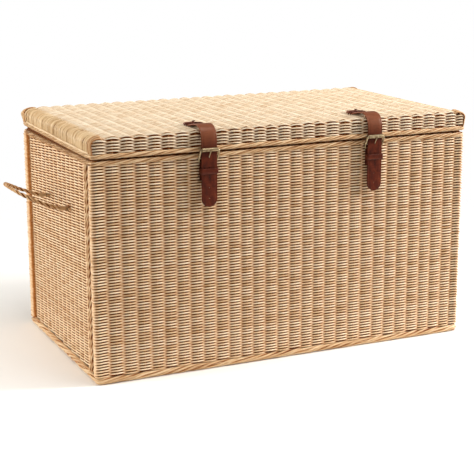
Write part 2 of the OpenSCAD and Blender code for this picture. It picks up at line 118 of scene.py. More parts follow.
# Straps and buckles
STRAP_X = {"left": -194.0, "right": 208.0}
STRAP_HALF, STRAP_T = 18.0, 3.0
TAIL_Y, TAIL_TOP_Z, TAIL_TIP_Z = -263.0, 497.0, 365.4
# Heights over which the straps' painted sheen grows from none to full
PAINTED_SHEEN_LOW, PAINTED_SHEEN_HIGH = 484.0, 524.0
STRAP_FLAT_Z = LID_TOP + 0.2 + STRAP_T / 2
STRAP_END_Y = -150.0
HOLE_TOP_Z, HOLE_PITCH, HOLE_COUNT = 472.62, 22.2, 5
PRONG_HOLE, SPARE_HOLE = (2.8, 4.6), (2.3, 2.9)
SLOT_WIDTH, SLOT_LENGTH = 6.4, 20.0
HEEL_Y, HEEL_Z = -255.4, 462.0
FRAME_LEN, FRAME_HALF, FRAME_LEAN = 30.0, 21.0, math.radians(26)
PRONG_LEAN = math.radians(35.6)
WIRE_R, ROLLER_R = 2.1, 4.1
RIVET_Z, CHAPE_END_Z, CHAPE_T = 429, 424.0, 1.8
LACING_Y = -182
KEEPER_Z, KEEPER_WIDTH, KEEPER_T = 442.75, 11.5, 2.0

# Handles
HANDLE_X, HANDLE_Z, HANDLE_HALF = 451.0, 350.0, 80.0
HANDLE_REACH, HANDLE_RISE, HANDLE_BEND = 107.0, 43.0, 56.0

# ---- studio, in metres, watts and degrees

FLOOR_HALF, FLOOR_FADE = 3.0, (0.75, 1.7)
TRUNK_MIDDLE = (0, 0, 0.26)

# Name, direction from the trunk, distance, size, energy and colour
LIGHTS = (("key", (0.88, -0.34, 0.36), 3.6, 0.8, 158.0, (1.0, 0.97, 0.93)),
          ("left_side", (-0.95, 0.12, 0.25), 3.4, 1.0, 80.0, (1.0, 0.96, 0.88)),
          ("top", (0.05, -0.25, 1.0), 3.0, 1.6, 46.0, (1.0, 0.99, 0.97)),
          ("backdrop", (-0.25, 0.95, 0.3), 3.6, 2.6, 34.0, (1.0, 1.0, 1.0)))

CAMERA_PLACE = (-1.2534, -2.7201, 0.9522)
CAMERA_LENS, CAMERA_SENSOR = 97.97, 36.0
CAMERA_DOWN, CAMERA_RIGHT, CAMERA_ROLL = 13.714, 24.565, 0.00343


# ---- shells

def unit(v):
    """Vectors of length one along the last axis."""
    return v / np.maximum(np.linalg.norm(v, axis=-1, keepdims=True), 1e-9)


def distances(line):
    """How far along a line each of its points is."""
    return np.concatenate([[0], np.cumsum(np.linalg.norm(np.diff(line, axis=0), axis=1))])


def point_at(line, along, place):
    """Points of a line at given distances along it."""
    return np.stack([np.interp(place, along, values) for values in np.transpose(line)], -1)


def square_to(axis):
    """Two unit vectors that are square to an axis and to each other."""
    helper = (0, 0, 1.0) if abs(axis[2]) < 0.9 else (1.0, 0, 0)
    across = unit(np.cross(helper, axis))
    return across, np.cross(axis, across)


def wound(middle, across, over, angle, radius):
    """A path that winds about a middle line, and the directions away from that line."""
    aside = np.cos(angle)[:, None] * across + np.sin(angle)[:, None] * over
    return middle + radius * aside, aside


def ring_faces(rings, sides, closed):
    """Four-sided faces between neighbouring rings of vertices."""
    ring = np.arange(rings if closed else rings - 1)[:, None] * sides
    after = (ring + sides) % (rings * sides)
    side = np.arange(sides)
    beside = (side + 1) % sides
    return np.stack([ring + side, after + side, after + beside, ring + beside], 2).reshape(-1, 4)


def mirrored(profile):
    """A turned profile of (distance, radius) points, completed by its mirror image."""
    return profile + [(-distance, radius) for distance, radius in profile[::-1]]


def circle(sides):
    """A circle of radius one, as offsets across and over a path."""
    turn = np.arange(sides) * 2 * math.pi / sides
    return np.stack([np.cos(turn), np.sin(turn)], 1)


# A rectangle's corners, anticlockwise: the signs of x and y, and the angle at which the rounding starts
CORNERS = ((1, 1, 0), (-1, 1, 90), (-1, -1, 180), (1, -1, 270))


def rounded_box_section(width, height, corner):
    """A rounded rectangle, as offsets across and over a path."""
    points = []
    for sx, sy, start in CORNERS:
        for step in (0, 45, 90):
            a = math.radians(start + step)
            points.append((sx * (width / 2 - corner) + corner * math.cos(a),
                           sy * (height / 2 - corner) + corner * math.sin(a)))
    return np.array(points)


def depth_in_weave(offset, outward, lift):
    """How deep each vertex of a strand lies, which sets its painted shade: 0 on the bulges, 1 behind the stakes
    or inside a rope.
    """
    rise = (offset * np.asarray(outward)[..., None, :]).sum(-1)
    facing = rise / np.linalg.norm(offset, axis=-1)
    if lift is None:
        return np.clip((0.5 - facing) / 1.2, 0, 1)
    height = lift[..., None] + rise
    near, depth = 1.1 * WEAVE_SWING, 0.65 * WEAVE_SWING
    outside = np.clip((WEAVE_SWING + WEAVER_R - height - near) / depth, 0, 1)
    inside = np.clip((WEAVE_SWING + WEAVER_R + height - near) / depth, 0, 1)
    return np.where(facing > 0.25, outside, np.where(facing < -0.25, inside, np.minimum(outside, inside)))


def add_object(name, data):
    """Puts a mesh, a light or a camera into the scene."""
    obj = bpy.data.objects.new(name, data)
    bpy.context.scene.collection.objects.link(obj)
    return obj


class Piece:
    """Gathers tubes, planks and turned shapes in millimetres, then makes them one mesh."""

    def __init__(self):
        self.verts, self.faces, self.grain, self.tone, self.recess = [], [], [], [], []
        self.count = 0

    def shell(self, verts, faces, grain, tone, recess=0.0):
        """Adds vertices, a list of (n, k) face arrays, and each vertex's grain position, tone and amount of
        painted shade (painted sheen on the straps).
        """
        self.verts.append(np.asarray(verts, float))
        self.faces += [np.asarray(f) + self.count for f in faces if len(f)]
        self.grain.append(np.asarray(grain, float))
        self.tone.append(np.broadcast_to(tone, len(verts)).astype(float))
        self.recess.append(np.broadcast_to(recess, len(verts)).astype(float))
        self.count += len(verts)

    def sweep(self, paths, section, scale=1.0, up=(0, 0, 1), closed=False, outward=None, lift=None, recess=0.0):
        """Sweeps a section along a path, shape (points, 3), or along each of several.

        outward and lift say which way the weave faces and how far out each point of a strand's middle is."""
        paths = np.asarray(paths, float)
        paths = paths.reshape(-1, *paths.shape[-2:])
        strands, points, _ = paths.shape
        sides = len(section)
        if closed:
            ahead = unit(np.roll(paths, -1, 1) - np.roll(paths, 1, 1))
        else:
            ahead = unit(np.gradient(paths, axis=1))
        across = unit(np.cross(np.broadcast_to(np.asarray(up, float), ahead.shape), ahead))
        over = np.cross(ahead, across)
        scale = np.broadcast_to(scale, (strands, points))[:, :, None, None]
        offset = scale * section
        rings = paths[:, :, None] + offset[..., :1] * across[:, :, None] + offset[..., 1:] * over[:, :, None]
        along = np.stack([distances(path) for path in paths]) + rng.uniform(0, 5000, (strands, 1))
        along = np.broadcast_to(along[:, :, None, None], (strands, points, sides, 1))
        grain = np.concatenate([along, np.broadcast_to(offset, (strands, points, sides, 2))], 3)
        base = np.arange(strands)[:, None, None] * points * sides
        faces = [(base + ring_faces(points, sides, closed)).reshape(-1, 4)]
        if not closed:
            side = np.arange(sides)
            faces += [base[:, 0] + side, base[:, 0] + (points - 1) * sides + side[::-1]]
        tone = np.repeat(rng.uniform(0, 1, strands), points * sides)
        # Painted shade: the deeper a vertex lies in the weave or inside a rope, the darker its colour
        if outward is not None:
            recess = depth_in_weave(rings - paths[:, :, None], outward, lift).ravel()
        self.shell(rings.reshape(-1, 3), faces, grain.reshape(-1, 3), tone, recess)

    def tubes(self, paths, radius, up=(0, 0, 1), sides=6, closed=False, **shade):
        """Round strands along one path or several."""
        self.sweep(paths, circle(sides), radius, up, closed, **shade)

    def turned(self, centre, axis, profile, sides=24, hollow=False):
        """Revolves (distance, radius) points about an axis through centre; hollow joins the ends to a ring."""
        axis = unit(np.asarray(axis, float))
        across, over = square_to(axis)
        profile = np.asarray(profile, float)
        offset = profile[:, None, 1:] * circle(sides)
        rings = centre + profile[:, None, :1] * axis + offset[..., :1] * across + offset[..., 1:] * over
        count = len(profile)
        faces = [ring_faces(count, sides, hollow)[:, ::-1]]
        if not hollow:
            side = np.arange(sides)[None]
            faces += [side, (count - 1) * sides + side[:, ::-1]]
        along = np.broadcast_to(profile[:, None, :1], (count, sides, 1)) + rng.uniform(0, 5000)
        grain = np.concatenate([along, offset], 2)
        self.shell(rings.reshape(-1, 3), faces, grain.reshape(-1, 3), rng.uniform(0, 1))

    def plank(self, low, high, bevel=1.2, along=0):
        """A sawn lath with eased edges, given by its lowest and highest corners."""
        low, high = np.asarray(low, float), np.asarray(high, float)
        bm = bmesh.new()
        bmesh.ops.create_cube(bm, size=1.0)
        for v in bm.verts:
            v.co = (low + high) / 2 + np.array(v.co) * (high - low)
        bmesh.ops.bevel(bm, geom=bm.edges[:], offset=bevel, segments=2, profile=0.6, affect="EDGES")
        bm.verts.index_update()
        verts = np.array([v.co for v in bm.verts])
        faces = [[[v.index for v in f.verts]] for f in bm.faces]
        bm.free()
        grain = np.roll(verts, -along, 1) + rng.uniform(0, 5000, 3)
        self.shell(verts, faces, grain, rng.uniform(0, 1))

    def painted_shade_skin(self, low, high, recess=SKIN_SHADE):
        """A thin skin in the middle of a weave, which closes its gaps; painted shade makes it dark, as the shade
        deep in a gap.
        """
        self.plank(low, high, 0.1)
        self.recess[-1] += recess

    def make(self, name, body, finish, *nodes):
        """Makes the mesh, in metres, riding on a body and standing for CAD nodes."""
        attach(self.mesh_object(name, finish, nodes), body)

    def mesh_object(self, name, finish, nodes):
        """Makes the mesh object with its material, and hides the nodes that it replaces."""
        verts = np.concatenate(self.verts) * MM
        sizes = np.concatenate([np.full(len(f), f.shape[1]) for f in self.faces])
        corners = np.concatenate([f.ravel() for f in self.faces])
        mesh = bpy.data.meshes.new(name)
        mesh.vertices.add(len(verts))
        mesh.vertices.foreach_set("co", verts.ravel())
        mesh.loops.add(len(corners))
        mesh.loops.foreach_set("vertex_index", corners)
        mesh.polygons.add(len(sizes))
        mesh.polygons.foreach_set("loop_start", np.concatenate([[0], np.cumsum(sizes)[:-1]]))
        mesh.polygons.foreach_set("use_smooth", np.ones(len(sizes), bool))
        mesh.update(calc_edges=True)
        mesh.attributes.new("grain", "FLOAT_VECTOR", "POINT").data.foreach_set(
            "vector", np.concatenate(self.grain).ravel())
        for attribute, values in (("tone", self.tone), ("recess", self.recess)):
            mesh.attributes.new(attribute, "FLOAT", "POINT").data.foreach_set("value", np.concatenate(values))
        mesh.validate()
        mesh.set_sharp_from_angle(angle=math.radians(50))
        slot, material = finish
        mesh.materials.append(material)
        obj = add_object(name, mesh)
        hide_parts(*nodes)
        return obj


# ---- materials

WHITE = (1.0, 1.0, 1.0)


def feed(tree, node, inputs):
    """Sets a node's inputs, by name or number, to values or links them to other nodes' outputs."""
    for name, value in inputs.items():
        if isinstance(value, bpy.types.NodeSocket):
            tree.links.new(value, node.inputs[name])
        else:
            node.inputs[name].default_value = value


def add_node(tree, kind, output, inputs, **settings):
    """Adds a shader node and returns one of its outputs."""
    node = tree.nodes.new("ShaderNode" + kind)
    for setting, value in settings.items():
        setattr(node, setting, value)
    feed(tree, node, inputs)
    return node.outputs[output]


class Shader:
    """A Principled material, built node by node."""

    def __init__(self, name, **constants):
        self.material = bpy.data.materials.new(name)
        self.material.use_nodes = True
        self.tree = self.material.node_tree
        self.surface = self.tree.nodes["Principled BSDF"]
        feed(self.tree, self.surface, {socket.replace("_", " "): value for socket, value in constants.items()})

    def node(self, kind, output, inputs, **settings):
        return add_node(self.tree, kind, output, inputs, **settings)

    def attribute(self, name, output="Fac"):
        return self.node("Attribute", output, {}, attribute_name=name)

    def grain(self, stretch):
        """A strand's own coordinates, in millimetres, scaled along, across and over it."""
        return self.node("Mapping", "Vector", {"Scale": stretch, "Vector": self.attribute("grain", "Vector")})

    def noise(self, vector, detail=3.0, roughness=0.55, scale=1.0):
        """Noise at a vector, or along a grain that is given by its three scales."""
        if isinstance(vector, tuple):
            vector = self.grain(vector)
        return self.node("TexNoise", "Fac", {"Scale": scale, "Detail": detail, "Roughness": roughness,
                                             "Vector": vector})

    def ramp(self, factor, *stops):
        output = self.node("ValToRGB", "Color", {"Fac": factor})
        elements = output.node.color_ramp.elements
        while len(elements) < len(stops):
            elements.new(0.5)
        for element, (position, colour) in zip(elements, stops):
            element.position = position
            element.color = (*colour, 1.0)
        return output

    def span(self, factor, low, high):
        """Maps a factor from 0..1 to low..high."""
        return self.node("MapRange", "Result", {"To Min": low, "To Max": high, "Value": factor})

    def blend(self, mode, factor, first, second):
        """Mixes two colours; the factor is a number or a socket."""
        return self.node("Mix", 2, {0: factor, 6: first, 7: second}, data_type="RGBA", blend_type=mode)

    def bump(self, height, strength, distance, **normal):
        inputs = {"Strength": strength, "Distance": distance, "Height": height, **normal}
        return self.node("Bump", "Normal", inputs)

    def finish(self, colour, roughness, **normal):
        feed(self.tree, self.surface, {"Base Color": colour, "Roughness": roughness, **normal})
        return self.material


def cane_material(name, dark, mid, pale):
    """Peeled round cane: a tone for each strand, fine fibres along it, and painted shade where it is hidden in
    the weave.
    """
    s = Shader(name, Specular_IOR_Level=0.2)
    recess = s.attribute("recess")
    strand = s.ramp(s.attribute("tone"), (0.0, dark), (0.3, mid), (0.75, pale), (1.0, mid))
    fibres = s.noise((0.05, 1.6, 1.6), 4.0)
    fibre_tint = s.ramp(fibres, (0.3, (0.62, 0.5, 0.4)), (0.55, WHITE))
    patches = s.noise((0.03, 0.1, 0.1), 2.0)
    patch_tint = s.ramp(patches, (0.34, (0.8, 0.66, 0.52)), (0.5, WHITE), (0.68, (1.04, 1.05, 1.06)))
    # Painted shade: darker and redder the deeper a vertex lies, nearly black at the deepest
    painted_shade_tint = s.ramp(recess, (0.0, WHITE), (0.4, (0.6, 0.33, 0.13)), (0.9, (0.2, 0.05, 0.008)),
                         (1.0, (0.09, 0.045, 0.035)))
    tinted = s.blend("MULTIPLY", 0.5, strand, fibre_tint)
    patched = s.blend("MULTIPLY", 0.6, tinted, patch_tint)
    shine = s.blend("LIGHTEN", 1.0, s.span(fibres, 0.52, 0.38), s.span(recess, 0.3, 1.0))
    return s.finish(s.blend("MULTIPLY", 1.0, patched, painted_shade_tint), shine, Normal=s.bump(fibres, 0.35, 0.0003))


def pole_material():
    """Smooth rattan pole with its skin left on: golden brown, finely streaked."""
    s = Shader("rattan_pole", Coat_Weight=0.25, Coat_Roughness=0.25)
    streaks = s.noise((0.03, 0.9, 0.9), 4.0)
    skin = s.ramp(streaks, (0.3, (0.30, 0.15, 0.055)), (0.55, (0.52, 0.30, 0.13)), (0.75, (0.62, 0.40, 0.20)))
    return s.finish(skin, s.span(streaks, 0.45, 0.32), Normal=s.bump(streaks, 0.3, 0.0003))


def wood_material():
    """Planed lath with a long grain and small pores."""
    s = Shader("lath_wood")
    figure = s.noise((0.006, 0.16, 0.3), 5.0, 0.6)
    pores = s.noise((0.12, 2.2, 2.2), 2.0)
    base = s.ramp(figure, (0.32, (0.30, 0.17, 0.08)), (0.5, (0.46, 0.29, 0.15)), (0.68, (0.58, 0.40, 0.23)))
    planed = s.blend("MULTIPLY", 0.5, base, s.ramp(pores, (0.35, (0.55, 0.45, 0.38)), (0.5, WHITE)))
    return s.finish(planed, s.span(figure, 0.72, 0.55), Normal=s.bump(pores, 0.4, 0.0003))


def leather_material():
    """Thick waxed strap leather: pebbled grain and creases, and a painted sheen that makes it paler high up over
    the lid's edge.
    """
    s = Shader("strap_leather", Coat_Weight=0.3, Coat_Roughness=0.34, Coat_Tint=(1.0, 0.8, 0.65, 1.0),
               Specular_IOR_Level=0.15, Specular_Tint=(1.0, 0.75, 0.55, 1.0))
    mottling = s.noise((0.05, 0.09, 0.09), 5.0, 0.6)
    pebbles = s.node("TexVoronoi", "Distance", {"Scale": 1.0, "Vector": s.grain((1.1, 1.1, 1.1))})
    creases = s.noise((0.5, 0.05, 0.3))
    base = s.ramp(mottling, (0.3, (0.048, 0.007, 0.003)), (0.52, (0.092, 0.012, 0.004)),
                  (0.74, (0.155, 0.03, 0.01)))
    worn = s.ramp(creases, (0.3, (0.6, 0.55, 0.52)), (0.5, WHITE))
    # Painted sheen: the strap's colour turns paler where it lies high
    painted_sheen = s.blend("MIX", s.span(s.attribute("recess"), 0.0, 0.62), base, (0.27, 0.095, 0.045, 1.0))
    return s.finish(s.blend("MULTIPLY", 0.6, painted_sheen, worn), s.span(mottling, 0.5, 0.33),
                    Normal=s.bump(creases, 0.35, 0.0004, Normal=s.bump(pebbles, 0.3, 0.0002)))


def brass_material():
    """Antique brass: warm metal, dulled and darker in patches, with fine wear marks."""
    s = Shader("antique_brass", Metallic=1.0)
    tarnish = s.noise((0.12, 0.16, 0.16), 5.0, 0.65)
    marks = s.noise((2.5, 0.4, 0.4))
    metal = s.ramp(tarnish, (0.3, (0.14, 0.09, 0.045)), (0.48, (0.38, 0.29, 0.17)), (0.7, (0.56, 0.47, 0.31)))
    return s.finish(metal, s.span(tarnish, 0.55, 0.3), Normal=s.bump(marks, 0.15, 0.0002))


def steel_material():
    """Drawn steel wire, slightly greyed."""
    s = Shader("steel_wire", Metallic=1.0)
    drawn = s.noise((0.1, 3.0, 3.0))
    metal = s.ramp(drawn, (0.3, (0.32, 0.31, 0.29)), (0.7, (0.62, 0.60, 0.57)))
    return s.finish(metal, s.span(drawn, 0.42, 0.26), Normal=s.bump(drawn, 0.2, 0.0001))


def floor_material():
    """Plain pale floor with a barely visible mottling, fading away into the white surroundings."""
    s = Shader("pale_floor", Specular_IOR_Level=0.1)
    place = s.node("TexCoord", "Object", {})
    mottling = s.noise(place, scale=3.0)
    s.finish(s.ramp(mottling, (0.3, (0.93, 0.93, 0.93)), (0.7, (0.96, 0.96, 0.96))), s.span(mottling, 0.9, 0.8))
    distance = s.node("VectorMath", "Value", {0: place}, operation="LENGTH")
    near, far = FLOOR_FADE
    fade = s.node("MapRange", "Result", {"From Min": near, "From Max": far, "Value": distance},
                  interpolation_type="SMOOTHSTEP")
    away = s.node("BsdfTransparent", "BSDF", {})
    mix = s.node("MixShader", "Shader", {"Fac": fade, 1: s.surface.outputs["BSDF"], 2: away})
    feed(s.tree, s.tree.nodes["Material Output"], {"Surface": mix})
    return s.material


# Each finish is a slot of the part's record and the material that shows there
WALL_CANE = "woven_cane", cane_material(
    "woven_cane", (0.76, 0.51, 0.29), (0.92, 0.68, 0.43), (0.98, 0.79, 0.56))
LID_CANE = "woven_cane", cane_material(
    "lid_cane", (0.78, 0.61, 0.42), (0.87, 0.73, 0.54), (0.94, 0.83, 0.66))
BORDER_CANE = "twisted_cane", cane_material(
    "border_cane", (0.60, 0.38, 0.20), (0.74, 0.52, 0.30), (0.82, 0.63, 0.40))
END_CANE = "woven_cane", cane_material(
    "lid_end_cane", (0.42, 0.27, 0.13), (0.66, 0.47, 0.27), (0.80, 0.62, 0.39))
HANDLE_CANE = "twisted_cane", cane_material(
    "handle_cane", (0.38, 0.22, 0.10), (0.55, 0.34, 0.17), (0.68, 0.46, 0.25))
POLE = "cane_pole", pole_material()
WOOD = "pale_wood", wood_material()
LEATHER = "leather", leather_material()
BRASS = "brass", brass_material()
STEEL = "steel_pin", steel_material()


# ---- woven walls

def wobble(places, strands, size):
    """A slow sideways drift for each of several strands, at places along it."""
    slow = np.sin(places / 61 + rng.uniform(0, 6.3, (strands, 1)))
    fast = np.sin(places / 23 + rng.uniform(0, 6.3, (strands, 1)))
    return size * (0.6 * slow + 0.4 * fast)


def swing(stake_place, row):
    """How far a weaver stands out, from -1 behind a stake to 1 in front of it."""
    return np.cos(math.pi * (stake_place + row))


def long_stakes():
    """The uneven spacing of the stakes along the width: from corner pole to corner pole."""
    count = np.arange(STAKES + 1)
    drift = SPACING_DRIFT * np.sin(math.pi * count / 12) * np.clip((27 - count) / 4, 0, 1)
    return np.minimum(FIRST_STAKE + STAKE_PITCH * count + drift, LAST_STAKE)


LONG_STAKES = long_stakes()
SIDE_STAKES = SIDE_FIRST + SIDE_PITCH * np.arange(SIDE_COUNT + 1)


def stakes_at(heights, stakes):
    """Where each stake stands at each height: a little off its place, and not quite upright."""
    free = np.ones(len(stakes))
    free[[0, -1]] = 0
    off = free * rng.normal(0, STAKE_SWAY, len(stakes))
    lean = free * rng.normal(0, STAKE_SWAY, len(stakes))
    phase = rng.uniform(0, 6.3, len(stakes))
    return stakes + off + lean * np.sin(heights[:, None] / 130 + phase)


def between_stakes(stakes, place):
    """Positions at fractional stake numbers, for each row."""
    low = np.minimum(place.astype(int), stakes.shape[1] - 2)
    return stakes[:, low] + (stakes[:, low + 1] - stakes[:, low]) * (place - low)


# A weaver's way round a corner: |x|, |y|, and how far out it stands
CORNER_IN_FRONT = np.array([(441.8, 252.8, 0.9), (447.2, 252.4, 0.8), (450.9, 250.0, 0.7), (452.2, 246.0, 0.6),
                            (452.2, 241.0, 0.6), (451.4, 235.5, 0.6), (448.0, 231.5, 0.0), (441.0, 231.0, -1.0)])
CORNER_BEHIND = np.array([(441.8, 246.2, -0.9), (447.2, 247.6, -0.2), (450.4, 246.2, 0.4), (451.6, 243.0, 0.5),
                          (451.9, 239.0, 0.6), (450.8, 234.0, 0.5), (447.4, 231.0, 0.0), (441.0, 231.0, -1.0)])


def corner_turn(wave):
    """Each row's way round a corner, by whether it is in front of the corner pole: (rows, points, 3)."""
    turn = np.where((wave > 0)[:, None, None], CORNER_IN_FRONT, CORNER_BEHIND)
    scatter = rng.normal(0, 0.35, (len(wave), 1, 3)) * (1, 1, 0)
    return turn + scatter


def wall_rows():
    """A wall's rows of weavers: how many, their numbers and their heights, both as columns."""
    rows = round((WALL_TOP - FOOT_TOP) / ROW_PITCH)
    row = np.arange(rows)[:, None]
    return rows, row, FOOT_TOP + (row + 0.5) * (WALL_TOP - FOOT_TOP) / rows


def long_wall_rows(side):
    """Weavers of the front or back wall: paths, outward directions and how far out each point is."""
    rows, row, height = wall_rows()
    place = np.linspace(0, STAKES, SAMPLES * STAKES + 1)
    wave = swing(place[None], row)
    left, right = corner_turn(wave[:, 0])[:, ::-1], corner_turn(wave[:, -1])
    wave = wave * (1 + 0.06 * rng.standard_normal(wave.shape))
    x = between_stakes(stakes_at(height[:, 0], LONG_STAKES), place)
    x = np.concatenate([-left[..., 0], x, right[..., 0]], 1)
    y = np.concatenate([left[..., 1], WALL_MID_Y + WEAVE_SWING * wave, right[..., 1]], 1)
    lift = WEAVE_SWING * np.concatenate([left[..., 2], wave, right[..., 2]], 1)
    z = height + wobble(x, rows, 0.12) + ARCH * lift / WEAVE_SWING
    outward = unit(np.stack([x - np.clip(x, -440, 440), side * np.maximum(y - 241, 1), 0 * z], 2))
    return np.stack([x, side * y, z], 2), outward, lift


def upright_stakes(p, spots):
    """Straight upright rods at the given x and y, with painted shade that makes them darker than the weavers
    that hide them.
    """
    p.tubes([[(x, y, FOOT_TOP + 2), (x, y, WALL_TOP - 1)] for x, y in spots], STAKE_R, up=(1, 0, 0),
            recess=STAKE_SHADE)


def long_wall(name, side):
    """A long wall, in a lower and an upper piece."""
    paths, outward, lift = long_wall_rows(side)
    half = len(paths) // 2
    middle = side * WALL_MID_Y
    for part, rows in (("lower", slice(0, half)), ("upper", slice(half, None))):
        p = Piece()
        p.tubes(paths[rows], WEAVER_R, outward=outward[rows], lift=lift[rows])
        # Painted shade on the weavers that turn round the corners
        p.recess[-1] += CORNER_SHADE * (np.abs(p.verts[-1][:, 0]) > CORNER_EDGE)
        if part == "upper":
            upright_stakes(p, [(x, middle) for x in LONG_STAKES[1:-1]])
            p.painted_shade_skin((-439, middle - SKIN_HALF, FOOT_TOP), (439, middle + SKIN_HALF, WALL_TOP))
        p.make(f"{name}_wall_weave_{part}", "trunk", WALL_CANE, f"{name}_panel")


def side_wall(side):
    """Side wall: its weavers turn back round the first and last stakes, beside the corner ropes."""
    sign = SIGN[side]
    rows, row, height = wall_rows()
    place = np.linspace(0, SIDE_COUNT, SAMPLES * SIDE_COUNT + 1)
    wave = swing(place[None], row) * (1 + 0.06 * rng.standard_normal((rows, len(place))))
    y = between_stakes(stakes_at(height[:, 0], SIDE_STAKES), place)
    first, last = SIDE_STAKES[[0, -1]]
    turn = np.radians([36, 72, 108, 144, 180])
    ends = np.sign(wave[:, :1]) * np.cos(turn)[::-1], np.sign(wave[:, -1:]) * np.cos(turn)
    reach = (STAKE_R + WEAVER_R) * np.sin(turn)
    y = np.concatenate([first - reach[::-1] + 0 * row, y, last + reach + 0 * row], 1)
    lift = WEAVE_SWING * np.concatenate([ends[0], wave, ends[1]], 1)
    z = height + wobble(y, rows, 0.12) + ARCH * lift / WEAVE_SWING
    p = Piece()
    p.tubes(np.stack([sign * (WALL_MID_X + lift), y, z], 2), WEAVER_R,
            outward=np.broadcast_to((sign, 0, 0), (*z.shape, 3)), lift=lift)
    middle, seam = sign * WALL_MID_X, sign * SEAM_X
    upright_stakes(p, [(middle, stake) for stake in SIDE_STAKES])
    p.painted_shade_skin((middle - SKIN_HALF, first - 2, FOOT_TOP), (middle + SKIN_HALF, last + 2, WALL_TOP))
    # Sheets dark with painted shade behind the seams near the wall's front and back ends
    for low, high in SIDE_SEAMS:
        p.painted_shade_skin((seam - 1, low, FOOT_TOP + 1), (seam + 1, high, WALL_TOP - 1), SEAM_SHADE)
    p.make(f"{side}_wall_weave", "trunk", WALL_CANE, f"{side}_panel")


def woven_floor():
    """Floor of broader flat splints over the same stakes."""
    rows, half_x, half_y = 66, 433.0, 239.0
    row = np.arange(rows)[:, None]
    x = np.linspace(-half_x, half_x, 3 * STAKES + 1)[None]
    wave = swing((x - FIRST_STAKE) / STAKE_PITCH, row)
    y = np.broadcast_to(-half_y + (row + 0.5) * 2 * half_y / rows, wave.shape)
    p = Piece()
    p.sweep(np.stack([np.broadcast_to(x, wave.shape), y, FLOOR_Z + 1.7 * wave], 2),
            rounded_box_section(6.2, 1.5, 0.6)[::2])
    p.tubes([[(x, -half_y, FLOOR_Z), (x, half_y, FLOOR_Z)] for x in LONG_STAKES[1:-1]], 1.2)
    p.painted_shade_skin((-half_x, -half_y, FLOOR_Z - 0.2), (half_x, half_y, FLOOR_Z + 0.2))
    p.make("floor_weave", "trunk", WALL_CANE, "bottom_panel")


# ---- frame inside the body

def rattan_pole(p, start, end, radius):
    """A straight pole with a swollen ring at each node of the rattan."""
    start, end = np.array(start, float), np.array(end, float)
    length = np.linalg.norm(end - start)
    place = np.arange(0, length, 4.0)
    place = np.append(place, length)
    nodes = np.arange(rng.uniform(40, 120), length, 165.0)
    swell = sum(np.exp(-((place - n) / 3.5) ** 2) for n in nodes) if len(nodes) else 0 * place
    up = (1, 0, 0) if abs(end[2] - start[2]) > 1 else (0, 0, 1)
    path = start + (end - start) * (place / length)[:, None]
    p.tubes(path, radius * (0.965 + 0.035 * swell), up=up, sides=14)


def corner_poles():
    p = Piece()
    for x in (-POLE_X, POLE_X):
        for y in (-POLE_Y, POLE_Y):
            rattan_pole(p, (x, y, FOOT_TOP + 0.2), (x, y, WALL_TOP - 0.2), POLE_R)
    p.make("corner_rattan_poles", "trunk", POLE, "corner_poles")


def bottom_rails():
    z, x, y = 20.2, 431.8, 237.8
    p = Piece()
    for side in (-1, 1):
        rattan_pole(p, (-424.5, side * y, z), (424.5, side * y, z), POLE_R)
        rattan_pole(p, (side * x, -231.5, z), (side * x, 231.5, z), POLE_R)
    p.make("floor_rattan_rails", "trunk", POLE, "bottom_rails")


def laths(name, body, node, low, high, spans, bevel=1.4):
    """Planed laths between two heights, each given by its range in x and in y."""
    p = Piece()
    for x, y in spans:
        p.plank((min(x), min(y), low), (max(x), max(y), high), bevel, along=int(np.ptp(y) > np.ptp(x)))
    p.make(name, body, WOOD, node)


def top_rails():
    spans = [span for side in (FRONT, BACK) for span in (
        ((-423.6, 423.6), (side * 243.8, side * (243.8 - LATH_WIDTH))),
        ((side * 437.8, side * (437.8 - LATH_WIDTH)), (-231.6, 231.6)))]
    laths("body_top_laths", "trunk", "top_rails", 462.0, 480.6, spans)


def lid_rails():
    front, back = -245.8, 243.8
    spans = [((-425.8, 425.8), (front, front + LATH_WIDTH)), ((-425.8, 425.8), (back - LATH_WIDTH, back))]
    spans += [((side * 439.8, side * (439.8 - LATH_WIDTH)), (front + 3, back - 3)) for side in (LEFT, RIGHT)]
    laths("lid_laths", "lid", "lid_rails", 483.4, 496.4, spans)


def floor_battens():
    spans = [((x - 14, x + 14), (-240.2, 240.2)) for x in (-358.0, 0.0, 358.0)]
    laths("floor_runners", "trunk", "floor_battens", 0, 7.8, spans, 1.6)


def lid_battens():
    spans = [((x - 14, x + 14), (-245, 243)) for x in (-320.0, 0.0, 320.0)]
    laths("lid_cross_battens", "lid", "lid_battens", 515.6, 520.6, spans)


# ---- rolled borders and ropes

def rounded_loop(half_x, front, back, corner, count):
    """A level rounded rectangle, anticlockwise, evenly spaced: points and outward directions."""
    dense = []
    for sx, sy, start in CORNERS:
        a = np.radians(np.linspace(start, start + 90, 25))
        middle_y = back - corner if sy > 0 else front + corner
        dense.append(np.stack([sx * (half_x - corner) + corner * np.cos(a), middle_y + corner * np.sin(a)], 1))
    dense = np.concatenate(dense + [dense[0][:1]])
    place = distances(dense)
    points = point_at(dense, place, np.arange(count) * place[-1] / count)
    ahead = unit(np.roll(points, -1, 0) - np.roll(points, 1, 0))
    return points, np.stack([ahead[:, 1], -ahead[:, 0]], 1), place[-1]


def warp(x, y):
    """The left end of the lid's and the body's edges have moved a little apart towards the back: 0 to 1."""
    sideways = np.clip((-x - 300) / 140, 0, 1)
    backwards = np.clip((y + 190) / 400, 0, 1)
    return sideways ** 2 * (3 - 2 * sideways) * backwards ** 2 * (3 - 2 * backwards)


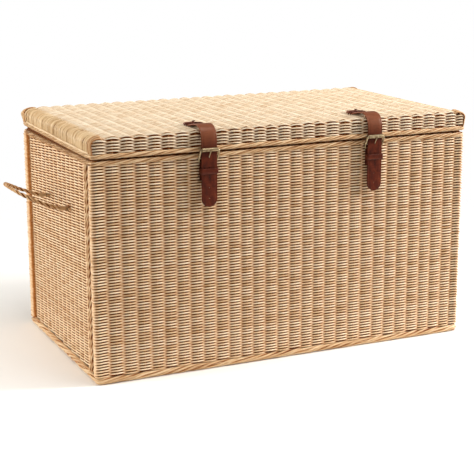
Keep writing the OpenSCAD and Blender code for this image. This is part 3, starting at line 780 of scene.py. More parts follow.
def laid_loop(p, half_x, front, back, corner, z, radius, strands, strand_r, lay, count=600, warping=0.0):
    """Strands laid helically round a rounded rectangle; they rise to the right on the front."""
    points, outward, length = rounded_loop(half_x, front, back, corner, count)
    turns = round(length / lay)
    place = np.arange(count) / count * 2 * math.pi
    middle = np.column_stack([points, z + warping * warp(*points.T)])
    outward = np.column_stack([outward, np.zeros(count)])
    made = []
    for k in range(strands):
        drift = 0.4 * np.sin(place * 17 + rng.uniform(0, 6.3)) + 0.35 * np.sin(place * 41 + rng.uniform(0, 6.3))
        angle = place * turns + 2 * math.pi * k / strands + 0.3 * np.sin(place * 23 + rng.uniform(0, 6.3))
        reach = (radius - strand_r + np.minimum(drift, 0.15))[:, None]
        made.append(wound(middle, outward, UP, angle, reach))
    paths, aside = np.moveaxis(made, 1, 0)
    p.tubes(paths, strand_r, closed=True, outward=aside)


def side_binding(p, x, z, radius, wire_r, low, high, pitch, warping=0.0):
    """A thin cane bound round the border along both ends, turn beside turn."""
    turns = round((high - low) / pitch)
    t = np.linspace(0, 1, turns * 8 + 1)
    y = low + (high - low) * t
    for side in (LEFT, RIGHT):
        middle = np.stack([side * x + 0 * t, y, z + warping * warp(side * x, y)], 1)
        path, aside = wound(middle, np.array((side, 0, 0)), UP, 2 * math.pi * turns * t, radius)
        p.tubes(path, wire_r, up=(0, 1, 0.01), sides=5, outward=aside)


def press_hinge_seats(p, above, limit):
    """Presses a border's strands clear of the hinge knuckles, and level under or over the leaves."""
    for verts in p.verts:
        near = np.abs(np.abs(verts[:, 0]) - HINGE_X) < HINGE_LEN / 2 + 1
        offset = verts[:, 1:] - (HINGE_Y, HINGE_Z)
        reach = np.linalg.norm(offset, axis=1, keepdims=True)
        pushed = (HINGE_Y, HINGE_Z) + offset * np.maximum(reach, KNUCKLE_R + 0.5) / np.maximum(reach, 1e-6)
        verts[near, 1:] = pushed[near]
        leaf = near & (verts[:, 1] > LEAF_FRONT - 1) & (verts[:, 1] < HINGE_Y)
        verts[leaf, 2] = np.maximum(verts[leaf, 2], limit) if above else np.minimum(verts[leaf, 2], limit)


def rolled_border(half_x, front, back, z, radius, strands, lay, seat=None, warping=0.0, tuck=0.0):
    """A border of slanting canes rolled round the edge over a core, with a thin laid cord inside it."""
    p = Piece()
    outline = half_x - radius, front + radius, back - radius, BORDER_CORNER
    laid_loop(p, *outline, z, radius, strands, radius * 0.37, lay, warping=warping)
    laid_loop(p, *outline, z, radius * 0.6, 2, radius * 0.42, 9000, warping=warping)
    laid_loop(p, half_x - CORD_INSET, front + CORD_INSET, back - CORD_INSET, BORDER_CORNER, z + tuck,
              CORD_R, 3, 1.35, CORD_LAY, 800)
    # Painted shade on the inner cord, so the seam between lid and body shows dark
    p.recess[-1] += CORD_SHADE
    if seat:
        side_binding(p, half_x - radius, z, radius - 0.4, *BINDING, warping)
        press_hinge_seats(p, *seat)
    return p


def body_borders():
    rim = rolled_border(452.5, -256.0, 256.0, RIM_Z, RIM_R, 5, 110, (False, 480.5), -2.8, 4.1)
    rim.make("body_rim_roll", "trunk", BORDER_CANE, "top_rim")
    foot = rolled_border(453.5, -256.5, 256.5, FOOT_R, FOOT_R, 6, 190)
    foot.make("foot_roll", "trunk", BORDER_CANE, "bottom_rim")


def lid_border():
    """The lid's border, with one smooth cane more along the top of each end."""
    p = rolled_border(453.5, -258.0, 256.0, LID_BORDER_Z, RIM_R, 5, 110, (True, 483.5), 2.6, -4.1)
    y = np.linspace(-END_CANE_HALF, END_CANE_HALF, 60)
    for side in (LEFT, RIGHT):
        x = side * (END_CANE_X - 5 * (np.abs(y) / END_CANE_HALF) ** 14)
        path = np.stack([x, y, END_CANE_Z + 2.2 * warp(x, y) + 0.3 * np.sin(y / 29)], 1)
        p.tubes(path, END_CANE_R, sides=8)
    p.make("lid_border_roll", "lid", BORDER_CANE, "lid_border")


def corner_ropes(side):
    """Two laid ropes that stand in front of the side wall's front edge."""
    z = np.arange(FOOT_TOP + 0.5, WALL_TOP, 2.6)
    p = Piece()
    strand_r = ROPE_R * 0.464
    for y in ROPE_Y:
        for k in range(3):
            angle = 2 * math.pi * (z / 52 + k / 3) + 0.3 * np.sin(z / 33 + k)
            sway = 0.9 * np.sin(z / 31 + y) + 0.4 * np.sin(z / 13 + 2 * y)
            middle = np.stack([SIGN[side] * ROPE_X + 0 * z, y + sway, z], 1)
            path, aside = wound(middle, np.array((1, 0, 0)), np.array((0, 1, 0)), angle, ROPE_R - strand_r)
            p.tubes(path, strand_r, up=(1, 0, 0), outward=aside)
    p.make(f"{side}_corner_rope_pair", "trunk", BORDER_CANE, f"corner_ropes_{side}")


# ---- lid

def lid_profile():
    """Middle of the lid's weave from its front border up, over the top and down to its back border."""
    front, back, top = LID_FRONT + LID_INSET, LID_BACK - LID_INSET, LID_TOP - LID_INSET
    a = np.radians(np.linspace(180, 90, 10))
    bend = LID_BEND * np.stack([1 + np.cos(a), np.sin(a) - 1], 1)
    low = LID_BORDER_TOP + 0.5
    mirrored_bend = (bend * (-1, 1))[::-1]
    line = np.concatenate([[(front, low)], (front, top) + bend, (back, top) + mirrored_bend, [(back, low)]])
    return line, distances(line)


LID_LINE, LID_ALONG = lid_profile()


def on_lid_profile(place):
    """Points (y, z) and outward directions at distances along the lid's profile."""
    before, at, after = (point_at(LID_LINE, LID_ALONG, place + step) for step in (-0.8, 0, 0.8))
    ahead = unit(after - before)
    return at, np.stack([-ahead[..., 1], ahead[..., 0]], -1)


def lid_weave(rows, place, stakes, is_skirt):
    """Weavers along the width at distances along the profile; a skirt's ends turn in behind the lid's ends."""
    grid = np.concatenate([[-0.4, -0.2, 0.0], GRID, [STAKES, STAKES + 0.2, STAKES + 0.4]]) if is_skirt else GRID
    count = len(rows)
    middle, outward = on_lid_profile(place)
    inside = np.clip(grid, 0, STAKES)
    x = between_stakes(stakes, inside) + (grid - inside) * STAKE_PITCH
    lift = WEAVE_SWING * swing(grid[None], rows[:, None]) * (1 + 0.07 * rng.standard_normal(x.shape))
    slide = wobble(x, count, 0.2) + (SKIRT_ARCH if is_skirt else ARCH) * lift / WEAVE_SWING
    if is_skirt:
        pad = np.full((count, 1), -7.0)
        x = np.concatenate([x[:, :1] + 1.5, x, x[:, -1:] - 1.5], 1)
        lift = np.concatenate([pad, lift, pad], 1)
        slide = np.concatenate([0 * pad, slide, 0 * pad], 1)
    tangent = np.stack([-outward[:, 1], outward[:, 0]], 1)
    slide = -slide * np.sign(tangent[:, 1:] + 0.3)
    yz = middle[:, None] + lift[..., None] * outward[:, None] - slide[..., None] * tangent[:, None]
    facing = np.broadcast_to(np.column_stack([0 * rows, outward])[:, None], (*x.shape, 3))
    p = Piece()
    p.tubes(np.concatenate([x[..., None], yz], 2), WEAVER_R, up=(0.02, 1, 1), outward=facing, lift=lift)
    # The skirts keep only part of the painted shade
    if is_skirt:
        p.recess[-1] *= SKIRT_SHADE
    return p


def lid_surfaces():
    """Front skirt, top and back skirt: one continuous weave, cut into pieces at its bends.

    Returns the top's weavers, for the lid's ends: their distances along the profile and their numbers."""
    length = LID_ALONG[-1]
    count = int(length / ROW_PITCH)
    rows = np.arange(count)
    place = (rows + 0.5) * length / count
    stakes = stakes_at(place * 0.4, LONG_STAKES)
    skirt, half = LID_ALONG[5], length / 2
    whole = length - skirt
    for name, node, low, high in (("lid_front_weave", "lid_front_skirt", 0, skirt),
                                  ("lid_top_weave_front", "lid_top_panel", skirt, half),
                                  ("lid_top_weave_back", "lid_top_panel", half, whole),
                                  ("lid_back_weave", "lid_back_skirt", whole, length)):
        mask = (place >= low) & (place < high)
        p = lid_weave(rows[mask], place[mask], stakes[mask], "skirt" in node)
        reach = np.linspace(low, high, 14)
        middle, _ = on_lid_profile(reach)
        # Stakes and a skin in the weave's middle, both dark with painted shade
        ribs = [np.column_stack([np.full(len(reach), x), middle]) for x in LONG_STAKES[1:-1]]
        p.tubes(ribs, STAKE_R, up=(1, 0, 0), recess=STAKE_SHADE)
        skin = np.column_stack([0 * reach, middle])
        p.sweep(skin, rounded_box_section(2 * SKIN_HALF, 876.0, 0.1), up=(1, 0, 0), recess=SKIN_SHADE)
        p.make(name, "lid", LID_CANE, node)
    top = (place >= skirt) & (place < whole)
    return place[top], rows[top]


def lid_end(side, place, rows):
    """The top's weavers carried on over the lid's rounded end and down to its border, leaning a little."""
    sign = SIGN[side]
    count = len(rows)
    at = on_lid_profile(place)[0][:, :1]
    first = FIRST_STAKE + STAKE_PITCH * GRID[0]
    radius = LID_ROUND - 2.6
    angle = np.radians(np.linspace(100, 180, 8))
    arc_x = -(LID_X - LID_ROUND) + radius * np.cos(angle)
    arc_z = LID_TOP - LID_ROUND + radius * np.sin(angle)
    x = np.concatenate([[first + 6, first], arc_x, np.full(3, arc_x[-1])])
    z = np.concatenate([[0.0, 0.0], arc_z, [503.0, 497.0, 491.0]])
    x, z = np.broadcast_to(x, (count, 13)), np.broadcast_to(z, (count, 13)).copy()
    z[:, :2] = (LID_TOP - LID_INSET + WEAVE_SWING * swing(GRID[0], rows))[:, None]
    progress = np.concatenate([[0, 0], np.linspace(0.08, 1, 11)])[None]
    bulge = np.sin(math.pi * progress)
    lean = 5.0 * np.sin(at / 43 + 1) + 2.6 * np.sin(at / 17) + rng.normal(0, 1.3, (count, 1))
    near_back = np.clip((at - 215) / 30, 0, 1)
    out = rng.normal(0, 0.5, (count, 1)) * bulge + (6.0 * near_back + 1.2) * bulge
    y = at + lean * progress ** 1.3 + rng.normal(0, 0.35, (count, 13)) * (progress > 0)
    y = np.clip(y, LID_FRONT + 5, LID_BACK - 3) + 5.0 * near_back * bulge
    p = Piece()
    facing = unit(np.stack([-sign * (x + 420), 0 * x, np.maximum(z - 500, 0)], 2))
    p.tubes(np.stack([-sign * (x - out), y, z], 2), 1.6, up=(0, 1, 0), outward=facing)
    # Stakes and a skin in the weave's middle, both dark with painted shade
    rib = [(sign * (LID_X - inset), z) for inset, z in ((5.5, 493.0), (5.5, 508.0), (11.5, 517.0), (22, 521.5))]
    for rib_y in np.linspace(LID_FRONT + 14, LID_BACK - 12, 15):
        p.tubes([(x, rib_y, z) for x, z in rib], STAKE_R, up=(0, 1, 0), recess=STAKE_SHADE)
    p.sweep([(x, 0, z) for x, z in rib], rounded_box_section(2 * SKIN_HALF, LID_BACK - LID_FRONT - 12, 0.1),
            up=(0, 1, 0), recess=SKIN_SHADE)
    p.make(f"lid_{side}_end_canes", "lid", END_CANE, f"lid_{side}_end")


# Canes bent over the lid's corners: end, y, bulge outwards, bend along y, and drop of the upper end
BENT_CANES = ((FRONT, -250.5, 3.6, -2.4, 3.6), (FRONT, -245.0, 2.2, 0.6, 1.2), (FRONT, -239.5, 0.8, 4.6, 0.0),
              (BACK, 250.5, 4.0, 1.0, 6.5), (BACK, 245.5, 4.6, -1.0, 4.0), (BACK, 240.5, 4.0, -2.5, 2.5))


def lid_corner_canes():
    """Bent canes over both ends of each rounded edge."""
    p = Piece()
    radius = LID_ROUND + 0.9
    angle = np.radians(np.linspace(78, 180, 12))
    for side in (LEFT, RIGHT):
        for end, y0, bulge, bend, drop in BENT_CANES:
            bow = bulge * np.sin(np.linspace(0, 1, 12) * math.pi)
            x = -(LID_X - LID_ROUND) + radius * np.cos(angle) - bow
            z = LID_TOP - LID_ROUND + radius * np.sin(angle)
            x, z = np.append(x, [x[-1] + 0.6, x[-1] + 1.5]), np.append(z, [502.0, 494.5])
            progress = np.linspace(0, 1, len(x))
            z -= drop * (1 - progress) + 3.0 * (progress == 0)
            y = y0 + bend * np.sin(progress * 2.6)
            path = np.stack([-side * x, y, z], 1)
            facing = unit(path - (side * 425, y0 - 12 * end, 505))
            p.tubes(path, 2.2 * (1 - 0.25 * (progress < 0.05)), up=(0, 1, 0), sides=8, outward=facing)
    # Painted shade added on the bent canes
    p.recess = [r + BENT_SHADE for r in p.recess]
    p.make("lid_bent_corner_canes", "lid", BORDER_CANE, "lid_corner_canes")


# ---- hinges

def slotted_screw(p, x, z, up):
    """A countersunk head with its slot, as two half discs standing a little above a lower disc."""
    centre = np.array([x, SCREW_Y, z])
    p.turned(centre, (0, 0, up), [(-9, 0.4), (-7, 1.3), (-1.2, 1.6), (-0.12, 2.9), (-0.12, 0.02)], 20)
    count = 11
    arc = np.radians(np.linspace(9, 171, count))
    side = np.arange(count)[None]
    beside = (side + 1) % count
    walls = np.stack([side, beside, beside + count, side + count], 2)[0]
    for half in (1, -1):
        flat = SCREW_HEAD_R * np.stack([np.cos(arc), half * np.sin(arc)], 1)
        low = np.column_stack([flat, np.full(count, -0.2 * up)]) + centre
        high = np.column_stack([flat * 0.97, np.full(count, 0.12 * up)]) + centre
        verts = np.concatenate([low, high])
        flip = half * up
        p.shell(verts, [walls[:, ::flip], (side + count)[:, ::flip], side[:, ::-flip]], verts, rng.uniform(0, 1))


def hinge_leaves(name, body, node, low, first):
    """Both hinges' leaves on one side: plate, webs and every other knuckle."""
    step = HINGE_LEN / 5
    p = Piece()
    half, end, r = HINGE_LEN / 2, step / 2 - 0.15, KNUCKLE_R
    knuckle = mirrored([(-end, PIN_R + 0.1), (-end, r - 0.3), (0.3 - end, r)])
    for x0 in (-HINGE_X, HINGE_X):
        p.plank((x0 - half, LEAF_FRONT, low), (x0 + half, LEAF_EDGE, low + LEAF_T), 0.35)
        for i in range(first, 5, 2):
            middle = x0 - half + (i + 0.5) * step
            p.plank((middle - end, LEAF_EDGE - 1, low), (middle + end, HINGE_Y, low + LEAF_T), 0.2)
            p.turned((middle, HINGE_Y, HINGE_Z), (1, 0, 0), knuckle, hollow=True)
    p.make(name, body, BRASS, node)


def hinge_screws(name, body, node, z, up):
    p = Piece()
    for x0 in (-HINGE_X, HINGE_X):
        for spot in SCREW_SPOTS:
            slotted_screw(p, x0 + spot, z, up)
    p.make(name, body, BRASS, node)


def hinge_pins():
    p = Piece()
    for x0 in (-HINGE_X, HINGE_X):
        p.turned((x0, HINGE_Y, HINGE_Z), (1, 0, 0), mirrored([(-30.3, 0.3), (-30.1, 0.9), (-29.6, PIN_R)]), 16)
    p.make("hinge_wire_pins", "trunk", STEEL, "hinge_pins")


# ---- leather

def strap_line():
    """Middle of the strap's thickness: from its laced end, over the lid's front edge, down to the tip."""
    a, b, c, d = np.array([(-190.0, STRAP_FLAT_Z), (-226.0, STRAP_FLAT_Z + 8.3),
                           (-266.0, STRAP_FLAT_Z + 20.3), (TAIL_Y, TAIL_TOP_Z)])
    t = np.linspace(0, 1, 60)[:, None]
    curve = (1 - t) ** 3 * a + 3 * t * (1 - t) ** 2 * b + 3 * t ** 2 * (1 - t) * c + t ** 3 * d
    return np.concatenate([[(STRAP_END_Y, STRAP_FLAT_Z)], curve, [(TAIL_Y, TAIL_TIP_Z)]])


class Strip:
    """A leather strip along a line in the y-z plane, with eased edges, a creased margin and oval holes."""

    # Places across the strip, and its thickness there, both as shares
    LEFT_SIDE = np.array([(-1, 0.35), (-0.985, 0.75), (-0.94, 1), (-0.86, 1), (-0.82, 0.84), (-0.78, 1),
                          (-0.5, 1), (-0.25, 1), (-0.12, 1)])
    COLUMNS, THICKNESS = np.concatenate([LEFT_SIDE, [(0, 1)], LEFT_SIDE[::-1] * (-1, 1)]).T
    HOLE_COLUMNS = range(7, 12)

    # Stations along a hole, and the room it takes, as shares of its length
    HOLE_STEPS, HOLE_REACH = (-0.75, -0.38, 0, 0.38, 0.75), 0.76

    def __init__(self, line, thickness, x0, half_width):
        self.line, self.half, self.x0, self.half_width = np.asarray(line, float), thickness / 2, x0, half_width
        self.along = distances(self.line)
        self.verts, self.quads, self.grain = [], [], []

    def add(self, place, across, height):
        """One vertex: distance along the line, millimetres across it, and height above its middle."""
        before, at, after = point_at(self.line, self.along, place + np.array([-0.7, 0, 0.7]))
        ahead = unit(after - before)
        y, z = at + height * np.array([ahead[1], -ahead[0]])
        self.verts.append((self.x0 + across, y, z))
        self.grain.append((place, across, height))
        return len(self.verts) - 1

    def build(self, piece, stations, holes):
        """Fills the strip between stations; each hole is (place, width, length)."""
        clear = {s for s in stations if all(abs(s - p) > self.HOLE_REACH * length for p, _, length in holes)}
        stations = sorted(clear | {p + d * length for p, _, length in holes for d in self.HOLE_STEPS})
        hole_cells = set()
        for p, _, length in holes:
            for i, s in enumerate(stations[:-1]):
                if abs((s + stations[i + 1]) / 2 - p) < self.HOLE_REACH * length:
                    hole_cells |= {(i, j) for j in self.HOLE_COLUMNS[:-1]}
        face = {}
        for sign in (1, -1):
            for i, s in enumerate(stations):
                for j, (column, thickness) in enumerate(zip(self.COLUMNS, self.THICKNESS)):
                    if not all((i - a, j - b) in hole_cells for a in (0, 1) for b in (0, 1)):
                        height = sign * self.half * thickness
                        face[sign, i, j] = self.add(s, column * self.half_width(s), height)
        last_i, last_j = len(stations) - 1, len(self.COLUMNS) - 1
        for i in range(last_i):
            for j in range(last_j):
                if (i, j) not in hole_cells:
                    quad = [(i, j), (i, j + 1), (i + 1, j + 1), (i + 1, j)]
                    self.quads += [[face[(1, *k)] for k in quad[::-1]], [face[(-1, *k)] for k in quad]]
            for j, order in ((0, 1), (last_j, -1)):
                self.edge(face, (i, j), (i + 1, j), order)
        for i, order in ((0, -1), (last_i, 1)):
            for j in range(last_j):
                self.edge(face, (i, j), (i, j + 1), order)
        for hole in holes:
            self.rim(face, stations, *hole)
        piece.shell(self.verts, [np.array(self.quads)], self.grain, 0.5)

    def edge(self, face, a, b, order):
        """Closes the strip's side between its two faces."""
        self.quads.append([face[(1, *a)], face[(1, *b)], face[(-1, *b)], face[(-1, *a)]][::order])

    def rim(self, face, stations, place, width, length):
        """Joins an oval hole to the grid round it, on both faces, and adds its inner wall."""
        reach = self.HOLE_STEPS[-1] * length
        first = next(i for i, s in enumerate(stations) if abs(s - place + reach) < 1e-6)
        cols, rows = self.HOLE_COLUMNS, range(first, first + len(self.HOLE_STEPS))
        loop = ([(rows[0], j) for j in cols] + [(i, cols[-1]) for i in rows[1:]]
                + [(rows[-1], j) for j in cols[-2::-1]] + [(i, cols[0]) for i in rows[-2:0:-1]])
        angles = [math.atan2(self.COLUMNS[j] / self.COLUMNS[cols[-1]], (stations[i] - place) / reach)
                  for i, j in loop]
        steps = [(k, (k + 1) % len(loop)) for k in range(len(loop))]
        rings = {}
        for sign in (1, -1):
            ring = rings[sign] = [self.add(place + length / 2 * math.cos(a), width / 2 * math.sin(a),
                                           sign * self.half * 0.9) for a in angles]
            self.quads += [[face[(sign, *loop[k])], face[(sign, *loop[n])], ring[n], ring[k]][::-sign]
                           for k, n in steps]
        self.quads += [[rings[1][n], rings[-1][n], rings[-1][k], rings[1][k]] for k, n in steps]


def strap(side):
    """The whole strap as one piece, standing for its top and its tail."""
    line = strap_line()
    strip = Strip(line, STRAP_T, STRAP_X[side], None)
    total = strip.along[-1]

    def half_width(place):
        from_end = total - place
        if place < 16:
            return 5.5 + (STRAP_HALF - 5.5) * math.sin(math.pi / 2 * max(place, 0.2) / 16) ** 0.8
        if from_end < STRAP_HALF:
            return math.sqrt(max(STRAP_HALF ** 2 - (STRAP_HALF - from_end) ** 2, 1.0))
        return STRAP_HALF

    strip.half_width = half_width
    tip = total - STRAP_HALF * (1 - np.cos(np.linspace(0, math.pi / 2, 10)))
    stations = list(np.linspace(0, 16, 7)) + list(np.arange(20, total - STRAP_HALF, 4.0)) + list(tip)
    holes = [(total + TAIL_TIP_Z - HOLE_TOP_Z + k * HOLE_PITCH, *(SPARE_HOLE if k else PRONG_HOLE))
             for k in range(HOLE_COUNT)]
    p = Piece()
    strip.build(p, stations, holes)
    # Painted sheen on the strap, growing with its height over the lid's front edge
    p.recess[-1] = np.clip((p.verts[-1][:, 2] - PAINTED_SHEEN_LOW) / (PAINTED_SHEEN_HIGH - PAINTED_SHEEN_LOW), 0, 1)
    obj = p.mesh_object(f"strap_{side}_leather", LEATHER, (f"strap_top_{side}", f"strap_tail_{side}"))
    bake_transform(obj)


def strap_lacing(side):
    """Crossed thongs over the strap's end; their ends go down into the lid's weave, with short curled tails."""
    x0, z, r = STRAP_X[side], STRAP_FLAT_Z + STRAP_T / 2 + 1.4, 1.3
    p = Piece()
    for lean in (-14, 14):
        a = math.radians(lean)
        path = [(-20.6, -6.5), (-20.2, -3.0), (-18.8, -0.6), (-14, 0.2), (0, 0.3 if lean > 0 else 1.6),
                (14, 0.2), (18.8, -0.6), (20.2, -3.0), (20.6, -6.5)]
        points = [(x0 + u * math.cos(a), LACING_Y + u * math.sin(a), z + h) for u, h in path]
        p.tubes(smooth_line(points, 5), r, up=(0, 1, 0.01), sides=8)
    for u, v, curl in ((-9, -196, 1), (7, -167, -1)):
        t = np.linspace(0, 4.6, 16)
        points = np.stack([x0 + u + curl * 3.2 * np.sin(t), v + 3.0 * (1 - np.cos(t)), z + 0.4 + 0.35 * t], 1)
        p.tubes(points, 1.0, up=(0.01, 0.02, 1), sides=6)
    p.make(f"strap_{side}_lacing", "lid", LEATHER, f"strap_lacing_{side}")


def smooth_line(points, steps):
    """A Catmull-Rom curve through points."""
    pts = np.asarray(points, float)
    pts = np.concatenate([2 * pts[:1] - pts[1:2], pts, 2 * pts[-1:] - pts[-2:-1]])
    out = []
    for i in range(1, len(pts) - 2):
        for t in np.arange(steps) / steps:
            a, b, c, d = pts[i - 1:i + 3]
            out.append(0.5 * (2 * b + (c - a) * t + (2 * a - 5 * b + 4 * c - d) * t ** 2
                              + (3 * b - a - 3 * c + d) * t ** 3))
    out.append(pts[-2])
    return np.array(out)


def chape(side):
    """Leather folded round the buckle's heel bar, with a slot for the prong."""
    radius = 3.0
    a = np.radians(np.linspace(180, 0, 13))
    loop = np.stack([HEEL_Y + radius * np.cos(a), HEEL_Z + radius * np.sin(a)], 1)
    line = np.concatenate([[(HEEL_Y - radius, CHAPE_END_Z)], loop, [(HEEL_Y + radius, CHAPE_END_Z)]])
    strip = Strip(line[::-1], CHAPE_T, STRAP_X[side], lambda place: STRAP_HALF)
    total = strip.along[-1]
    p = Piece()
    strip.build(p, np.linspace(0, total, 45), [(total / 2, SLOT_WIDTH, SLOT_LENGTH)])
    p.make(f"buckle_{side}_chape", "trunk", LEATHER, f"chape_{side}")


def keeper(side):
    """A leather loop round the tail, with a stitched-looking lip at its top and bottom edges."""
    x0, half, front, back = STRAP_X[side], 19.6, -266.6, -255.3
    points, _, _ = rounded_loop(half, front, back, 2.4, 72)
    path = np.column_stack([points + (x0, 0), np.full(len(points), KEEPER_Z)])
    section = rounded_box_section(KEEPER_T, KEEPER_WIDTH, 0.7)
    p = Piece()
    p.sweep(path, section, closed=True)
    for edge in (-4.9, 4.9):
        p.tubes(path + (0, 0, edge), 1.18, closed=True)
    p.make(f"strap_{side}_keeper", "trunk", LEATHER, f"keeper_{side}")


# ---- buckles

def on_buckle(side, x, reach, lean, lift=0.0):
    """A point of a buckle: sideways, out along its leaning plane, and lifted off that plane."""
    return (STRAP_X[side] + x, HEEL_Y - reach * math.sin(lean) - lift * math.cos(lean),
            HEEL_Z + reach * math.cos(lean) - lift * math.sin(lean))


def buckle_frame(side):
    """Bent wire frame: rounded corners, side rods bowed slightly outwards, and a butt joint in the heel bar."""
    corner = 4.5
    outline = []
    for cx, cy, start in CORNERS:
        for a in np.radians(np.linspace(start, start + 90, 7)):
            outline.append((cx * (FRAME_HALF - corner) + corner * math.cos(a),
                            FRAME_LEN / 2 + cy * (FRAME_LEN / 2 - corner) + corner * math.sin(a)))
        if cx == cy:
            outline += [(cx * f * (FRAME_HALF - corner), FRAME_LEN * (cx > 0)) for f in (0.6, 0.2, -0.2, -0.6)]
        else:
            outline += [(cx * (FRAME_HALF + bow), FRAME_LEN * (0.5 - cx * f))
                        for f, bow in ((0.25, 0.5), (0, 0.9), (-0.25, 0.5))]
    path = np.array([on_buckle(side, x, reach, FRAME_LEAN) for x, reach in outline])
    p = Piece()
    p.tubes(path, WIRE_R, up=(0, -math.cos(FRAME_LEAN), -math.sin(FRAME_LEAN)), sides=12, closed=True)
    p.make(f"buckle_{side}_wire_frame", f"buckle_{side}", BRASS, f"buckle_frame_{side}")


def buckle_roller(side):
    """Rolled sheet tube with turned-in ends and an open seam along it."""
    half, r = 18.5, ROLLER_R
    p = Piece()
    centre = on_buckle(side, 0, FRAME_LEN, FRAME_LEAN)
    p.turned(centre, (1, 0, 0),
             mirrored([(-half + 0.9, 2.15), (-half + 0.2, 2.3), (-half, 2.8), (-half + 0.25, r - 0.15),
                       (-half + 1.1, r), (-6, r - 0.05)]), 28, hollow=True)
    for angle in (1.425, 0.775):
        seam = [(centre[0] + s * (half - 1), centre[1] + 0.9 * r * math.cos(angle),
                 centre[2] - 0.9 * r * math.sin(angle)) for s in (-1, 1)]
        p.tubes(seam, 0.42)
    p.make(f"buckle_{side}_roller_tube", f"roller_{side}", BRASS, f"buckle_roller_{side}")


# The tongue's reach from the heel bar, lift off its leaning plane, and radius
TONGUE = ((1.8, 0.6, 1.35), (6, 0.2, 1.35), (14, 0, 1.3), (22, 0, 1.2), (28, 0.1, 1.1), (31, 0, 1.0),
          (33.3, -0.5, 0.55))


def buckle_prong(side):
    """Tapered tongue with an eye round the heel bar; its tip rests on the roller."""
    p = Piece()
    p.turned(on_buckle(side, 0, 0, 0), (1, 0, 0),
             mirrored([(-1.9, 2.1), (-1.9, 2.9), (-1.5, 3.25)]), hollow=True)
    reach, lift, radius = np.transpose(TONGUE)
    path = smooth_line([on_buckle(side, 0, r, PRONG_LEAN, up) for r, up in zip(reach, lift)], 4)
    thickness = np.interp(np.linspace(0, len(TONGUE) - 1, len(path)), range(len(TONGUE)), radius)
    p.tubes(path, thickness, up=(1, 0, 0), sides=12)
    p.make(f"buckle_{side}_tongue", f"prong_{side}", BRASS, f"buckle_prong_{side}")


def chape_rivets():
    """Two rivets through each chape: domed heads in front, broader burrs inside the wall."""
    head = [(-1.5, 1.4), (0, 1.4), (0.02, 3.4), (0.3, 3.3), (0.62, 2.6), (0.8, 1.3), (0.85, 0.1)]
    burr = [(-14, 1.4), (1.4, 1.4), (1.45, 4.0), (1.9, 3.9), (2.3, 2.4), (2.45, 0.1)]
    p = Piece()
    for x0 in STRAP_X.values():
        for x in (x0 - 9, x0 + 9):
            p.turned((x, -259.3, RIVET_Z), (0, FRONT, 0), head, 20)
            p.turned((x, -244, RIVET_Z), (0, BACK, 0), burr, 20)
    p.make("chape_rivet_heads", "trunk", BRASS, "chape_rivets")


# ---- handles

def handle_line(count):
    """Middle of a left handle from its front pivot round to its back pivot: out, curving up towards the tip."""
    leg = HANDLE_REACH - HANDLE_BEND
    a = np.radians(np.linspace(0, 90, 20))
    reach = np.concatenate([np.linspace(0, leg, 10)[:-1], leg + HANDLE_BEND * np.sin(a)])
    across = np.concatenate([np.full(9, -HANDLE_HALF), -HANDLE_HALF + HANDLE_BEND * (1 - np.cos(a))])
    reach = np.concatenate([reach, reach[::-1]])
    across = np.concatenate([across, -across[::-1]])
    rise = HANDLE_RISE * (reach / HANDLE_REACH) ** 1.45
    line = np.stack([-reach, across, rise], 1)
    place = distances(line)
    even = np.linspace(0, place[-1], count)
    return point_at(line, place, even), even


def coil(centre, axis, radius, start, end, turns, count):
    """A helix about an axis, as one path."""
    axis = unit(np.asarray(axis, float))
    t = np.linspace(0, 1, count)
    middle = centre + (start + (end - start) * t)[:, None] * axis
    return wound(middle, *square_to(axis), 2 * math.pi * turns * t, radius)[0]


def handle(side):
    """Rope-twist loop of three canes, with whipped ends that turn on the staples."""
    sign = SIGN[side]
    line, place = handle_line(150)
    ahead = unit(np.gradient(line, axis=0))
    across = unit(np.cross((0, 0, 1.0), ahead))
    over = np.cross(ahead, across)
    p = Piece()
    strand_r, helix_r = 2.0, 2.3
    trim = slice(3, len(line) - 3)
    for k in range(3):
        angle = 2 * math.pi * (place / 40 + k / 3) + 0.3 * np.sin(place / 29 + 2 * k)
        reach = (helix_r + 0.3 * np.sin(place / 13 + k))[:, None]
        path, aside = wound(line, across, over, angle, reach)
        p.tubes(path[trim], strand_r, up=(0.03, 0.02, 1), sides=9, outward=aside[trim])
    for end in (0, -1):
        heading = -ahead[end] if end else ahead[end]
        p.tubes(coil(line[end] + 5.2 * heading, heading, 4.4, 0, 13, 7, 120), 0.9, up=heading)
        p.tubes(coil(line[end], (0, 1, 0), 4.0, -5.4, 5.4, 6, 110), 1.0, up=(0, 1, 0))
    wisp = smooth_line([(-70, -66, 24), (-76, -70, 31), (-80, -73, 36), (-82, -77, 38)], 6)
    p.tubes(wisp, np.linspace(0.9, 0.35, len(wisp)), up=(0, 0.1, 1), sides=5)
    for verts in p.verts:
        verts *= (-sign, 1, 1)
        verts += (sign * HANDLE_X, 0, HANDLE_Z)
    if sign == RIGHT:
        p.faces = [f[:, ::-1] for f in p.faces]
    p.make(f"handle_{side}_rope_loop", f"handle_{side}", HANDLE_CANE, f"handle_{side}")


def handle_staples(side):
    """Bent cane staples that hold the handle's ends on the wall."""
    sign = SIGN[side]
    p = Piece()
    for y in (-HANDLE_HALF, HANDLE_HALF):
        outline = [(437.0, -9), (443.0, -9), (448.4, -9), (450.4, -8.2), (451.0, -6), (451.0, 0), (451.0, 6),
                   (450.4, 8.2), (448.4, 9), (443.0, 9), (437.0, 9)]
        points = [(sign * x, y + d, HANDLE_Z) for x, d in outline]
        p.tubes(smooth_line(points, 4), 2.0, sides=10)
    p.make(f"handle_{side}_cane_staples", "trunk", POLE, f"handle_staples_{side}")


# ---- the whole trunk

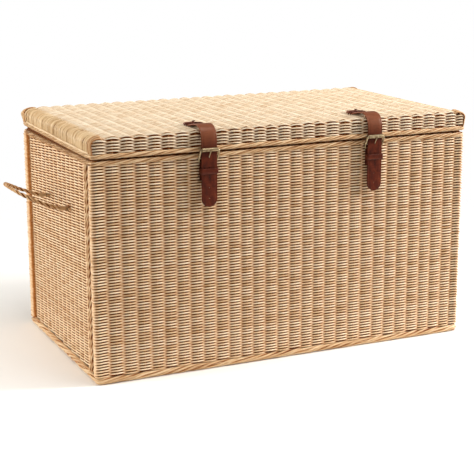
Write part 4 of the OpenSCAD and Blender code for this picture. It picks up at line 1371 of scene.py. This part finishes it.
def build_body():
    long_wall("front", FRONT)
    long_wall("back", BACK)
    for side in SIGN:
        side_wall(side)
    woven_floor()
    corner_poles()
    bottom_rails()
    top_rails()
    floor_battens()
    body_borders()
    for side in SIGN:
        corner_ropes(side)


def build_lid():
    place, rows = lid_surfaces()
    for side in SIGN:
        lid_end(side, place, rows)
    lid_border()
    lid_corner_canes()
    lid_rails()
    lid_battens()


def build_fittings():
    hinge_leaves("hinge_leaves_on_body", "trunk", "hinge_body_leaves", 480.7, 0)
    hinge_leaves("hinge_leaves_on_lid", "lid", "hinge_lid_leaves", 482.1, 1)
    hinge_screws("hinge_screws_in_body", "trunk", "hinge_body_screws", 481.9, 1)
    hinge_screws("hinge_screws_in_lid", "lid", "hinge_lid_screws", 482.1, -1)
    hinge_pins()
    chape_rivets()
    for side in SIGN:
        for build in (strap, strap_lacing, chape, keeper, buckle_frame, buckle_roller, buckle_prong,
                      handle, handle_staples):
            build(side)


# ---- floor, light and camera

def add_floor():
    h = FLOOR_HALF
    mesh = bpy.data.meshes.new("floor")
    mesh.from_pydata([(-h, -h, 0), (h, -h, 0), (h, h, 0), (-h, h, 0)], [], [(0, 1, 2, 3)])
    mesh.materials.append(floor_material())
    floor = add_object("floor", mesh)
    floor.location.z = -0.0005


def add_area_light(name, direction, distance, size, energy, colour):
    """A square soft light that looks at the trunk from a direction."""
    light = bpy.data.lights.new(name, "AREA")
    light.size = size
    light.energy = energy
    light.color = colour
    obj = add_object(name, light)
    away = Vector(direction).normalized()
    obj.location = Vector(TRUNK_MIDDLE) + distance * away
    obj.rotation_mode = "QUATERNION"
    obj.rotation_quaternion = away.to_track_quat("Z", "Y")


def add_studio_light():
    """White surroundings that light the trunk less than they show, and four soft lights round it."""
    world = bpy.data.worlds.new("studio")
    world.use_nodes = True
    tree = world.node_tree
    dim = tree.nodes["Background"]
    feed(tree, dim, {"Strength": 0.26, "Color": (1.0, 0.95, 0.86, 1.0)})
    seen = add_node(tree, "Background", "Background", {"Strength": 1.0, "Color": (*WHITE, 1.0)})
    to_camera = add_node(tree, "LightPath", "Is Camera Ray", {})
    mix = add_node(tree, "MixShader", "Shader", {"Fac": to_camera, 1: dim.outputs["Background"], 2: seen})
    feed(tree, tree.nodes["World Output"], {"Surface": mix})
    bpy.context.scene.world = world
    for light in LIGHTS:
        add_area_light(*light)


def add_camera():
    """Camera at the photographed view: left of the front, looking slightly down."""
    camera = bpy.data.cameras.new("camera")
    camera.lens = CAMERA_LENS
    camera.sensor_width = CAMERA_SENSOR
    obj = add_object("camera", camera)
    aim = Euler((math.radians(90 - CAMERA_DOWN), 0, math.radians(-CAMERA_RIGHT))).to_matrix().to_4x4()
    obj.matrix_world = Matrix.Translation(CAMERA_PLACE) @ aim @ Matrix.Rotation(-CAMERA_ROLL, 4, "Z")
    bpy.context.scene.camera = obj


build_body()
build_lid()
build_fittings()
add_floor()
add_studio_light()
add_camera()
bpy.context.scene.view_settings.view_transform = "Standard"

bpy.context.view_layer.update()
